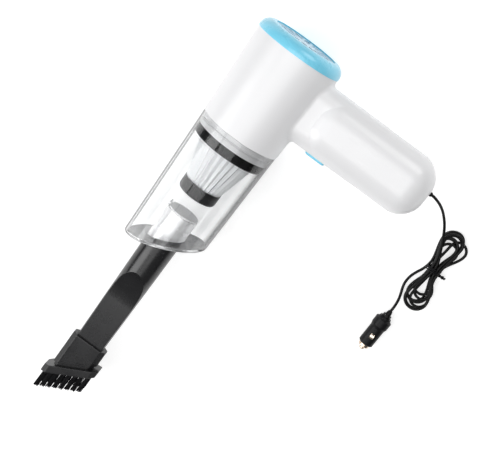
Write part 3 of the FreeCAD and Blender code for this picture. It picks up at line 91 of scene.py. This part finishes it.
class PlasticSettings(bpy.types.PropertyGroup):
    shell_colour: FloatVectorProperty(
        name="Shell colour", description="Colour of the moulded housing", subtype="COLOR", size=3,
        min=0, max=1, default=(0.80, 0.80, 0.81))
    trim_colour: FloatVectorProperty(
        name="Trim colour", description="Colour of the exhaust ring, grille and button", subtype="COLOR",
        size=3, min=0, max=1, default=(0.20, 0.64, 0.84))
    nozzle_colour: FloatVectorProperty(
        name="Nozzle colour", description="Colour of the nozzle and the brush", subtype="COLOR", size=3,
        min=0, max=1, default=(0.012, 0.012, 0.013))
    shell_roughness: FloatProperty(
        name="Shell roughness", description="How matt the housing is", subtype="FACTOR", min=0, max=1,
        default=0.34)


class CordSettings(bpy.types.PropertyGroup):
    diameter: FloatProperty(
        name="Diameter", description="Diameter of the cord", unit="LENGTH", min=0.001, max=0.006,
        default=0.0022)
    colour: FloatVectorProperty(
        name="Cord colour", description="Colour of the cord's jacket", subtype="COLOR", size=3,
        min=0, max=1, default=(0.005, 0.005, 0.005))
    lobe_points: IntProperty(
        name="Lobe points", description="Control points round the end of each lobe of the hank", min=6,
        max=16, default=9)


class BrushSettings(bpy.types.PropertyGroup):
    bristle_diameter: FloatProperty(
        name="Bristle diameter", description="Diameter of one nylon bristle", unit="LENGTH",
        min=0.0001, max=0.001, default=0.0004)
    per_tuft: IntProperty(
        name="Bristles in a tuft", description="Bristles set in each hole of the brush", min=10,
        max=120, default=58)
    splay: FloatProperty(
        name="Splay", description="How far a tuft's outer bristles lean out", unit="ROTATION", min=0,
        max=0.2, default=0.022)


# ---------------------------------------------------------------- materials

# Noise scales, in patches per metre.
DRIFT_SCALE = 28.0
POLISH_SCALE = 90.0
# Noise values hardly ever leave this span.
NOISE_LOW = 0.3
NOISE_HIGH = 0.7
SMOOTHEST = 0.02
ROUGHEST = 1.0


def paint(name, colour, roughness, drift=0.04, grain=3500.0, grain_height=0.00002, polish=0.06, metallic=0.0):
    """Surface with a fine grain, a slow drift in colour and patches of more and less polish."""
    material = bpy.data.materials.new(name)
    material.use_nodes = True
    tree = material.node_tree
    shader = shader_of(material)
    shader.inputs["Metallic"].default_value = metallic
    place = tree.nodes.new("ShaderNodeTexCoord").outputs["Object"]

    slow = noise(tree, place, DRIFT_SCALE, detail=3.0)
    tone = blend(tree, slow.outputs["Fac"])
    tone.inputs["A"].default_value = shade(colour, 1 - drift)
    tone.inputs["B"].default_value = shade(colour, 1 + drift)
    tree.links.new(tone.outputs["Result"], shader.inputs["Base Color"])

    patches = noise(tree, place, POLISH_SCALE, detail=4.0)
    smoother = max(roughness - polish, SMOOTHEST)
    rougher = min(roughness + polish, ROUGHEST)
    rough = map_range(tree, patches.outputs["Fac"], (NOISE_LOW, NOISE_HIGH), (smoother, rougher))
    tree.links.new(rough.outputs["Result"], shader.inputs["Roughness"])

    fine = noise(tree, place, grain, detail=2.0)
    relief = tree.nodes.new("ShaderNodeBump")
    relief.inputs["Strength"].default_value = 1.0
    relief.inputs["Distance"].default_value = grain_height
    tree.links.new(fine.outputs["Fac"], relief.inputs["Height"])
    tree.links.new(relief.outputs["Normal"], shader.inputs["Normal"])
    return material


def noise(tree, vector, scale, detail):
    node = tree.nodes.new("ShaderNodeTexNoise")
    node.inputs["Scale"].default_value = scale
    node.inputs["Detail"].default_value = detail
    tree.links.new(vector, node.inputs["Vector"])
    return node


def map_range(tree, value, span_in, span_out):
    """Turns a value that runs over span_in into one that runs over span_out."""
    node = tree.nodes.new("ShaderNodeMapRange")
    node.inputs["From Min"].default_value = span_in[0]
    node.inputs["From Max"].default_value = span_in[1]
    node.inputs["To Min"].default_value = span_out[0]
    node.inputs["To Max"].default_value = span_out[1]
    tree.links.new(value, node.inputs["Value"])
    return node


def blend(tree, factor):
    """Goes from colour A to colour B with the factor."""
    node = tree.nodes.new("ShaderNodeMix")
    node.data_type = "RGBA"
    tree.links.new(factor, node.inputs["Factor"])
    return node


def shade(colour, factor):
    return (*[min(channel * factor, 1.0) for channel in colour], 1.0)


def shader_of(material):
    return material.node_tree.nodes["Principled BSDF"]


def material_once(name, make):
    """The material of that name, made the first time that it is asked for."""
    return bpy.data.materials.get(name) or make(name)


def coated(material, weight, roughness):
    """A thin clear gloss, as polished moulds leave it."""
    shader_of(material).inputs["Coat Weight"].default_value = weight
    shader_of(material).inputs["Coat Roughness"].default_value = roughness
    return material


def white_shell(name):
    look = bpy.context.scene.vacuum_plastics
    plastic = paint(name, look.shell_colour, look.shell_roughness, drift=0.012, grain=2600.0,
                    grain_height=0.000008, polish=0.05)
    return coated(plastic, weight=0.25, roughness=0.22)


def cyan_trim(name):
    look = bpy.context.scene.vacuum_plastics
    plastic = paint(name, look.trim_colour, 0.3, drift=0.05, grain=2600.0, grain_height=0.000006)
    return coated(plastic, weight=0.3, roughness=0.15)


def felt_white(name):
    material = paint(name, (0.82, 0.80, 0.88), 0.95, drift=0.12, grain=1500.0, grain_height=0.0004)
    shader_of(material).inputs["Sheen Weight"].default_value = 0.4
    return material


def black_gloss(name):
    look = bpy.context.scene.vacuum_plastics
    return paint(name, look.nozzle_colour, 0.27, drift=0.2, grain=3200.0, grain_height=0.000006, polish=0.04)


# How far the clear wall is turned from the view, from 0 face-on to 1 edge-on, where its painted edge shade
# sets in on the side away from the handle and on the handle's side, and where that painted shade is full. The
# near-black edge is partly the longer path through the wall and partly painted shade standing in for a dark
# refraction. Setting in sooner on the handle's side is painted shade, for light that falls darker there.
PAINTED_SHADE_FROM_AWAY_SIDE = 0.64
PAINTED_SHADE_FROM_HANDLE_SIDE = 0.36
PAINTED_SHADE_FULL = 0.76
PAINTED_SHADE_SIDE_REACH = 0.02      # from the axis to where each side's own value holds
PAINTED_SHADE_COLOUR = (0.006, 0.006, 0.007, 1.0)


def clear_plastic(name):
    """Clear styrene with faint flow marks. Edge-on, its wall goes near-black: partly the longer path through
    the wall, partly painted shade for a dark refraction. The painted shade is strongest on the handle's side.
    """
    material = paint(name, (0.985, 0.99, 0.992), 0.02, drift=0.004, grain=60.0, grain_height=0.00002,
                     polish=0.015)
    shader = shader_of(material)
    shader.inputs["Transmission Weight"].default_value = 1.0
    shader.inputs["IOR"].default_value = 1.3
    tree = material.node_tree
    place = tree.nodes.new("ShaderNodeTexCoord")
    parts = tree.nodes.new("ShaderNodeSeparateXYZ")
    tree.links.new(place.outputs["Object"], parts.inputs["Vector"])
    # Painted shade: the edge darkening sets in sooner on the handle's side (object Y), for light that falls
    # darker there.
    across = (EXHAUST_FACE.y - PAINTED_SHADE_SIDE_REACH, EXHAUST_FACE.y + PAINTED_SHADE_SIDE_REACH)
    start = map_range(tree, parts.outputs["Y"], across, (PAINTED_SHADE_FROM_AWAY_SIDE, PAINTED_SHADE_FROM_HANDLE_SIDE))
    edge = tree.nodes.new("ShaderNodeLayerWeight")
    edge.inputs["Blend"].default_value = 0.5
    depth = map_range(tree, edge.outputs["Facing"], (PAINTED_SHADE_FROM_AWAY_SIDE, PAINTED_SHADE_FULL), (0.0, 1.0))
    depth.interpolation_type = "SMOOTHSTEP"
    tree.links.new(start.outputs["Result"], depth.inputs["From Min"])
    # Painted shade: the wall's colour is blended towards near-black as it turns edge-on, standing in for a
    # dark refraction.
    painted_edge_shade = blend(tree, depth.outputs["Result"])
    tree.links.new(shader.inputs["Base Color"].links[0].from_socket, painted_edge_shade.inputs["A"])
    painted_edge_shade.inputs["B"].default_value = PAINTED_SHADE_COLOUR
    tree.links.new(painted_edge_shade.outputs["Result"], shader.inputs["Base Color"])
    return material


def dull(material):
    """Weaker reflections, as on soft black mouldings."""
    shader_of(material).inputs["Specular IOR Level"].default_value = 0.16
    return material


def metal(name, colour, roughness):
    return paint(name, colour, roughness, drift=0.08, grain=1800.0, grain_height=0.00001, metallic=1.0)


FINISHES = {
    "white_shell": white_shell,
    "cyan_trim": cyan_trim,
    "grille_blue": lambda name: paint(name, (0.52, 0.74, 0.88), 0.3, drift=0.04, grain=2600.0,
                                      grain_height=0.000006),
    "felt_white": felt_white,
    "screw_steel": lambda name: metal(name, (0.33, 0.34, 0.36), 0.34),
    "motor_steel": lambda name: metal(name, (0.55, 0.55, 0.56), 0.38),
    "magnet_black": lambda name: paint(name, (0.05, 0.05, 0.052), 0.6, grain=900.0),
    "bush_bronze": lambda name: metal(name, (0.55, 0.36, 0.2), 0.45),
    "rotor_steel": lambda name: metal(name, (0.4, 0.4, 0.42), 0.5),
    "shaft_steel": lambda name: metal(name, (0.66, 0.66, 0.67), 0.2),
    "fan_plastic": lambda name: paint(name, (0.75, 0.76, 0.78), 0.45),
    "black_plastic": lambda name: dull(paint(name, (0.006, 0.006, 0.007), 0.42, drift=0.15)),
    "cushion_rubber": lambda name: paint(name, (0.03, 0.03, 0.03), 0.75),
    "seal_rubber": lambda name: dull(paint(name, (0.006, 0.006, 0.007), 0.3, drift=0.2)),
    "seal_clear": lambda name: paint(name, (0.80, 0.80, 0.81), 0.4, drift=0.03),
    "clear_plastic": clear_plastic,
    "inlet_silver": lambda name: paint(name, (0.86, 0.86, 0.87), 0.26, metallic=0.25),
    "flap_grey": lambda name: paint(name, (0.93, 0.93, 0.94), 0.5),
    "filter_white": lambda name: paint(name, (0.86, 0.87, 0.88), 0.85, drift=0.05, grain=1400.0,
                                       grain_height=0.00012),
    "filter_grey": lambda name: dull(paint(name, (0.02, 0.02, 0.021), 0.35, drift=0.2)),
    "black_gloss": black_gloss,
    "bristle_black": lambda name: dull(paint(name, (0.007, 0.007, 0.008), 0.3, drift=0.3)),
    "core_insulation": lambda name: paint(name, (0.5, 0.03, 0.03), 0.4),
    "cord_black": lambda name: dull(paint(name, bpy.context.scene.vacuum_cord.colour, 0.42, drift=0.2,
                                          grain=2200.0, grain_height=0.00002)),
    "contact_nickel": lambda name: metal(name, (0.86, 0.74, 0.62), 0.25),
    "contact_brass": lambda name: metal(name, (0.66, 0.53, 0.42), 0.24),
    "fuse_glass": lambda name: paint(name, (0.6, 0.62, 0.62), 0.1, metallic=0.4),
}


def finish_of(slot_name):
    return material_once("vacuum_" + slot_name, FINISHES[slot_name])


def dress(piece, slot_name, body=None):
    """Give a new piece its finish, and let it ride on its body."""
    piece.data.materials.clear()
    piece.data.materials.append(finish_of(slot_name))
    if body:
        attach(piece, body)


# ---------------------------------------------------------------- the cord

# Tool places, in metres. The lead comes down onto the top of the hank, and the plug's end leaves
# it on the table, outside the lobe.
LEAD_ROUTE = [
    (0.0343, 0.1372, 0.0000), (0.0343, 0.1395, -0.0002), (0.0352, 0.1430, -0.0022),
    (0.0372, 0.1482, -0.0070), (0.0408, 0.1538, -0.0128), (0.0456, 0.1590, -0.0182),
    (0.0508, 0.1635, -0.0222), (0.0565, 0.1672, -0.0243), (0.0630, 0.1704, -0.0250),
    (0.0695, 0.1732, -0.0254), (0.0755, 0.1752, -0.0258),
]
PLUG_ROUTE = [
    (0.0880, 0.1727, -0.0339), (0.0930, 0.1703, -0.0339), (0.0985, 0.1685, -0.0339),
    (0.1045, 0.1681, -0.0339), (0.1100, 0.1695, -0.0337), (0.1150, 0.1716, -0.0328),
    (0.1195, 0.1727, -0.0305), (0.1240, 0.1730, -0.0285), (0.1265, 0.1730, -0.0282),
    (0.1292, 0.1730, -0.0282),
]

# Turns of the hank, in millimetres from the middle of its tied waist: (strand's place across the
# waist, layer, left lobe's centre x, y and radius, right lobe's centre x, y and radius).
HANK_TURNS = [
    (1, 3, (-25.2, -2.0, 7.6), (25.6, 2.6, 8.6)),
    (0, 3, (-21.5, -3.2, 6.7), (17.5, 3.0, 6.8)),
    (0, 2, (-17.5, -0.5, 6.8), (24.6, 4.4, 6.9)),
    (1, 2, (-22.4, 4.6, 6.5), (21.5, 0.6, 8.0)),
    (1, 1, (-26.2, -2.2, 7.6), (26.4, 3.0, 8.8)),
    (0, 1, (-19.8, -2.6, 6.8), (15.5, 1.2, 6.7)),
    (0, 0, (-24.0, -1.0, 6.8), (23.0, 0.4, 6.8)),
    (1, 0, (-25.2, -2.6, 7.9), (26.2, 3.6, 8.8)),
    (2, 0, None, None),
]
HANK_MIDDLE = (0.0832, 0.1795)  # tool place, in metres
MILLIMETRE = 0.001
STRAND_PITCH = 2.2
WAIST_LIFT = 0.9        # room for the tie under the waist
WAIST_RISE = 14         # from the waist to where the strands lie on the table
WAIST_HALF = 2.6
SIDE_STEPS = 5          # control points along each side of a lobe
LAYER_HASTE = 1.6       # a strand has changed layer before it is round the lobe's end


def smooth(share):
    """Runs from 0 to 1 with a level start and end."""
    share = min(max(share, 0.0), 1.0)
    return share * share * (3 - 2 * share)


def hank_place(x, y, layer):
    """A place in the hank, from millimetres about its waist."""
    lift = WAIST_LIFT * (1 - smooth(abs(x) / WAIST_RISE))
    z = (layer + 0.5) * STRAND_PITCH + lift
    place = at(HANK_MIDDLE[0] + MILLIMETRE * x, HANK_MIDDLE[1] + MILLIMETRE * y, 0)
    return Vector((place.x, place.y, TABLE + MILLIMETRE * z))


def lobe_points(side, centre, waist_in, waist_out, layer_in, layer_out, end_points):
    """Out along one side of a lobe, round its end and back. side is 1 for the right lobe."""
    x, y, radius = centre
    waist_x = side * WAIST_HALF
    points = []
    for step in range(SIDE_STEPS):
        share = step / SIDE_STEPS
        start = -side * waist_in
        bow = smooth(share) * (y - side * radius - start)
        points.append((waist_x + share * (x - waist_x), start + bow, layer_in))
    for step in range(end_points + 1):
        share = step / end_points
        angle = math.pi * (share - 0.5)
        reach = side * radius
        layer = layer_in + smooth(LAYER_HASTE * share) * (layer_out - layer_in)
        points.append((x + reach * math.cos(angle), y + reach * math.sin(angle), layer))
    for step in range(1, SIDE_STEPS + 1):
        share = step / SIDE_STEPS
        start = y + side * radius
        bow = smooth(share) * (side * waist_out - start)
        points.append((x + share * (waist_x - x), start + bow, layer_out))
    return points


def hank_points(end_points):
    """The hank's turns, each round its right lobe, then round its left lobe to the next turn."""
    points = []
    for turn, following in zip(HANK_TURNS, HANK_TURNS[1:]):
        strand, layer, left_lobe, right_lobe = turn
        waist = (strand + 0.5) * STRAND_PITCH
        next_waist = (following[0] + 0.5) * STRAND_PITCH
        points += lobe_points(1, right_lobe, waist, waist, layer, layer, end_points)
        points += lobe_points(-1, left_lobe, waist, next_waist, layer, following[1], end_points)
    return [hank_place(*point) for point in points]


def cord_points(end_points):
    lead = [at(*place) for place in LEAD_ROUTE]
    return lead + hank_points(end_points) + [at(*place) for place in PLUG_ROUTE]


class VACUUM_OT_cord(bpy.types.Operator):
    """Supply cord: out of the handle, through its tied hank and into the plug"""
    bl_idname = "vacuum.cord"
    bl_label = "Cord"

    def execute(self, context):
        settings = context.scene.vacuum_cord
        line = bpy.data.curves.new("supply_cord", "CURVE")
        line.dimensions = "3D"
        line.resolution_u = 6
        line.bevel_depth = 0.5 * settings.diameter
        line.bevel_resolution = 4
        line.use_fill_caps = True
        points = cord_points(settings.lobe_points)
        spline = line.splines.new("NURBS")
        spline.points.add(len(points) - 1)
        for point, place in zip(spline.points, points):
            point.co = (*place, 1.0)
        spline.order_u = 3
        spline.use_endpoint_u = True
        cord = bpy.data.objects.new("supply_cord", line)
        context.scene.collection.objects.link(cord)
        dress(cord, "cord_black", "main")
        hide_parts("cord_lead", "cord_hank", "plug_lead")
        return {"FINISHED"}


# ---------------------------------------------------------------- brush

def start_piece(name):
    """An empty new mesh piece in edit mode."""
    bpy.ops.object.select_all(action="DESELECT")
    mesh = bpy.data.meshes.new(name)
    piece = bpy.data.objects.new(name, mesh)
    bpy.context.scene.collection.objects.link(piece)
    bpy.context.view_layer.objects.active = piece
    piece.select_set(True)
    bpy.ops.object.mode_set(mode="EDIT")
    return piece


def end_piece(sharp_angle):
    """Back to object mode, shaded smooth except at edges that turn more than the angle, in degrees."""
    bpy.ops.object.mode_set(mode="OBJECT")
    bpy.ops.object.shade_smooth_by_angle(angle=math.radians(sharp_angle))


# Places of the brush's tufts, as they are set in its flange, in tool metres.
TUFT_ROWS = (-0.0054, 0.0054)
TUFTS_IN_ROW = 8
TUFT_PITCH = 0.004375
TUFT_LENGTH = 0.0034
TUFT_DEPTH = 0.0026
TUFT_ROOT = 0.3162
TUFT_TIP = 0.3343
TUFT_SLANT = math.tan(math.radians(30.0))
TRIM_ALONG_SLANT = 0.75     # share of the slant that a tuft's own bristles follow
TRIM_SHORT = 0.0007
TRIM_LONG = 0.0002
STRAY_LEAN = 0.01
CHANCE_SEED = 11
BRISTLE_SIDES = 5
BRISTLE_TAPER = 0.72


class VACUUM_OT_bristles(bpy.types.Operator):
    """Bristles of the brush, tuft by tuft, trimmed along its slant"""
    bl_idname = "vacuum.bristles"
    bl_label = "Bristles"

    def execute(self, context):
        settings = context.scene.vacuum_brush
        chance = random.Random(CHANCE_SEED)
        piece = start_piece("bristles")
        for row in TUFT_ROWS:
            for step in range(TUFTS_IN_ROW):
                middle = (step - 0.5 * (TUFTS_IN_ROW - 1)) * TUFT_PITCH
                for _ in range(settings.per_tuft):
                    add_bristle(row, middle, settings, chance)
        end_piece(sharp_angle=50)
        dress(piece, "bristle_black", "brush")
        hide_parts("brush_bristles")
        return {"FINISHED"}


def add_bristle(row, middle, settings, chance):
    """One bristle, at a chance place in the tuft of that row and middle."""
    radius = 0.5 * settings.bristle_diameter
    across = chance.uniform(-1, 1)
    high = chance.uniform(-1, 1)
    y = middle + across * (0.5 * TUFT_LENGTH - radius)
    z = row + high * (0.5 * TUFT_DEPTH - radius)
    root = TUFT_ROOT - TUFT_SLANT * middle
    trim_place = TRIM_ALONG_SLANT * y + (1 - TRIM_ALONG_SLANT) * middle
    tip = TUFT_TIP - TUFT_SLANT * trim_place + chance.uniform(-TRIM_SHORT, TRIM_LONG)
    lean_y = across * settings.splay + chance.uniform(-STRAY_LEAN, STRAY_LEAN)
    lean_z = high * settings.splay + chance.uniform(-STRAY_LEAN, STRAY_LEAN)
    length = tip - root
    ahead = Vector((1.0, lean_y, lean_z)).normalized()
    bpy.ops.mesh.primitive_cone_add(
        vertices=BRISTLE_SIDES, radius1=radius, radius2=BRISTLE_TAPER * radius, depth=length,
        location=at(root, y, z) + 0.5 * length * ahead, rotation=ahead.to_track_quat("Z", "Y").to_euler())


# ---------------------------------------------------------------- hank tie

TIE_PLACE = (0, -1.1, 1.5)      # in the hank: millimetres, millimetres and layers
TIE_LIFT = 0.0001
TIE_RADIUS = 0.0060
TIE_WIRE_RADIUS = 0.0005
TIE_PITCH = 0.00125
TIE_FLATTENING = 0.86
TIE_TILTS = {-1: 4, 0: -3, 1: 2}    # degrees that each winding leans, by its place along the waist

TWIST_BEADS = 7
TWIST_BEAD_RADIUS = 0.00075
TWIST_RADIUS = 0.0007
TWIST_TURN = 0.9                # radians from bead to bead
TWIST_START = Vector((0.0008, 0.0060, 0.0010))
TWIST_STEP = Vector((0.0, 0.00085, -0.0002))


class VACUUM_OT_tie(bpy.types.Operator):
    """Wire tie wound round the hank's waist, with its ends twisted together"""
    bl_idname = "vacuum.tie"
    bl_label = "Tie"

    def execute(self, context):
        middle = hank_place(*TIE_PLACE)
        piece = start_piece("tie")
        for winding, tilt in TIE_TILTS.items():
            bpy.ops.mesh.select_all(action="DESELECT")
            place = middle + Vector((winding * TIE_PITCH, 0, TIE_LIFT))
            bpy.ops.mesh.primitive_torus_add(
                major_segments=40, minor_segments=8, major_radius=TIE_RADIUS, minor_radius=TIE_WIRE_RADIUS,
                location=place, rotation=(0, math.radians(90), math.radians(tilt)))
            bpy.ops.transform.resize(value=(1.0, 1.0, TIE_FLATTENING), center_override=place)
        for first_angle in (math.pi, 0):
            for step in range(TWIST_BEADS):
                bpy.ops.mesh.select_all(action="DESELECT")
                angle = TWIST_TURN * step + first_angle
                swing = TWIST_RADIUS * Vector((math.cos(angle), 0.0, math.sin(angle)))
                bpy.ops.mesh.primitive_uv_sphere_add(
                    segments=10, ring_count=6, radius=TWIST_BEAD_RADIUS,
                    location=middle + TWIST_START + step * TWIST_STEP + swing)
        end_piece(sharp_angle=60)
        dress(piece, "black_plastic", "main")
        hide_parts("hank_tie")
        return {"FINISHED"}


# ---------------------------------------------------------------- pieces that keep their frame shape

class VACUUM_OT_finishes(bpy.types.Operator):
    """Finish of each piece that keeps the shape it has in the frame"""
    bl_idname = "vacuum.finishes"
    bl_label = "Finishes"

    def execute(self, context):
        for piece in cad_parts.values():
            slot = piece.material_slots[0].material.name.split(".")[0]
            piece.material_slots[0].material = finish_of(slot)
        return {"FINISHED"}


# ---------------------------------------------------------------- stage

CAMERA_PLACE = at(-0.0637, 0.0436, 0.737)
CAMERA_TARGET = at(0.1393, 0.0436, 0.0)
CAMERA_LENS = 75.56     # millimetres
CAMERA_SENSOR = 36.0    # millimetres
AXIS_IN_VIEW = (-0.5965, 0.8028)

FLOOR_SIZE = 6.0
WALL_RADIUS = 1.6
WALL_HEIGHT = 0.5
STAGE_MIDDLE = Vector((0.0, 0.0, 0.0))
KEY_PLACE = Vector((0.45, -0.75, 0.75))
KEY_SIZE = 0.9
TOP_PLACE = Vector((0.0, 0.0, 1.3))
TOP_SIZE = 1.2
FILL_PLACE = at(-0.55, 0.25, 0.35)
FILL_SIZE = 0.4


def camera_matrix():
    """Camera at its place, rolled so that the suction axis runs along AXIS_IN_VIEW, right and down."""
    ahead = (CAMERA_TARGET - CAMERA_PLACE).normalized()
    axis = Vector((1, 0, 0))
    axis = (axis - ahead * axis.dot(ahead)).normalized()
    across = ahead.cross(axis)
    right_share, down_share = AXIS_IN_VIEW
    right = right_share * axis - down_share * across
    down = down_share * axis + right_share * across
    turn = Matrix((right, -down, -ahead)).transposed().to_4x4()
    return Matrix.Translation(CAMERA_PLACE) @ turn


def soft_light(name, place, target, size, power):
    light = bpy.data.lights.new(name, "AREA")
    light.shape = "DISK"
    light.size = size
    light.energy = power
    lamp = bpy.data.objects.new(name, light)
    bpy.context.scene.collection.objects.link(lamp)
    lamp.location = place
    lamp.rotation_euler = (target - place).to_track_quat("-Z", "Y").to_euler()


def add_floor(settings):
    """The pale table, which gives off some light of its own."""
    bpy.ops.object.select_all(action="DESELECT")
    bpy.ops.mesh.primitive_plane_add(size=FLOOR_SIZE, location=(0, 0, TABLE))
    floor = bpy.context.object
    floor.name = "table"
    table = paint("table_white", settings.floor_colour, 0.75, drift=0.004, grain=300.0,
                  grain_height=0.00001)
    shader_of(table).inputs["Emission Color"].default_value = (1.0, 1.0, 1.0, 1.0)
    shader_of(table).inputs["Emission Strength"].default_value = settings.floor_glow
    floor.data.materials.append(table)


def add_wall():
    """A dark wall all round, which glossy pieces reflect and the camera doesn't see."""
    bpy.ops.object.select_all(action="DESELECT")
    bpy.ops.mesh.primitive_cylinder_add(
        vertices=48, radius=WALL_RADIUS, depth=WALL_HEIGHT, end_fill_type="NOTHING",
        location=(0, 0, TABLE + 0.5 * WALL_HEIGHT))
    wall = bpy.context.object
    wall.name = "dark_wall"
    wall.visible_camera = False
    wall.data.materials.append(paint("wall_black", (0.01, 0.01, 0.01), 0.9, grain=40.0))


def add_room_light(strength):
    world = bpy.data.worlds.new("studio")
    bpy.context.scene.world = world
    world.use_nodes = True
    background = world.node_tree.nodes["Background"]
    background.inputs["Color"].default_value = (1.0, 1.0, 1.0, 1.0)
    background.inputs["Strength"].default_value = strength


def add_camera():
    view = bpy.data.cameras.new("view")
    view.sensor_width = CAMERA_SENSOR
    view.lens = CAMERA_LENS
    camera = bpy.data.objects.new("view", view)
    bpy.context.scene.collection.objects.link(camera)
    camera.matrix_world = camera_matrix()
    bpy.context.scene.camera = camera


class VACUUM_OT_stage(bpy.types.Operator):
    """Pale table, soft studio light and camera"""
    bl_idname = "vacuum.stage"
    bl_label = "Stage"

    def execute(self, context):
        settings = context.scene.vacuum_stage
        add_floor(settings)
        add_room_light(settings.room_light)
        add_wall()
        soft_light("key_light", KEY_PLACE, STAGE_MIDDLE, KEY_SIZE, settings.key_power)
        soft_light("top_light", TOP_PLACE, STAGE_MIDDLE, TOP_SIZE, settings.top_power)
        soft_light("fill_light", FILL_PLACE, EXHAUST_FACE, FILL_SIZE, settings.fill_power)
        add_camera()
        context.scene.view_settings.view_transform = "Standard"
        return {"FINISHED"}


# ---------------------------------------------------------------- panel and registration

OPERATORS = [VACUUM_OT_stage, VACUUM_OT_tie, VACUUM_OT_cord, VACUUM_OT_bristles, VACUUM_OT_finishes]
SETTINGS = {
    "vacuum_stage": StageSettings,
    "vacuum_plastics": PlasticSettings,
    "vacuum_cord": CordSettings,
    "vacuum_brush": BrushSettings,
}


class VACUUM_PT_pieces(bpy.types.Panel):
    """Lists the vacuum's settings and the operators that build its pieces"""
    bl_idname = "VACUUM_PT_pieces"
    bl_label = "Handheld vacuum"
    bl_space_type = "VIEW_3D"
    bl_region_type = "UI"
    bl_category = "Handheld vacuum"

    def draw(self, context):
        for name, group in SETTINGS.items():
            box = self.layout.box()
            for setting in group.__annotations__:
                box.prop(getattr(context.scene, name), setting)
        for operator in OPERATORS:
            self.layout.operator(operator.bl_idname)


def register():
    for name, group in SETTINGS.items():
        bpy.utils.register_class(group)
        setattr(bpy.types.Scene, name, PointerProperty(type=group))
    for operator in OPERATORS:
        bpy.utils.register_class(operator)
    bpy.utils.register_class(VACUUM_PT_pieces)


def unregister():
    bpy.utils.unregister_class(VACUUM_PT_pieces)
    for operator in reversed(OPERATORS):
        bpy.utils.unregister_class(operator)
    for name, group in SETTINGS.items():
        delattr(bpy.types.Scene, name)
        bpy.utils.unregister_class(group)


def main():
    register()
    bpy.ops.vacuum.stage()
    bpy.ops.vacuum.tie()
    bpy.ops.vacuum.cord()
    bpy.ops.vacuum.bristles()
    bpy.ops.vacuum.finishes()


if __name__ == "__main__":
    main()
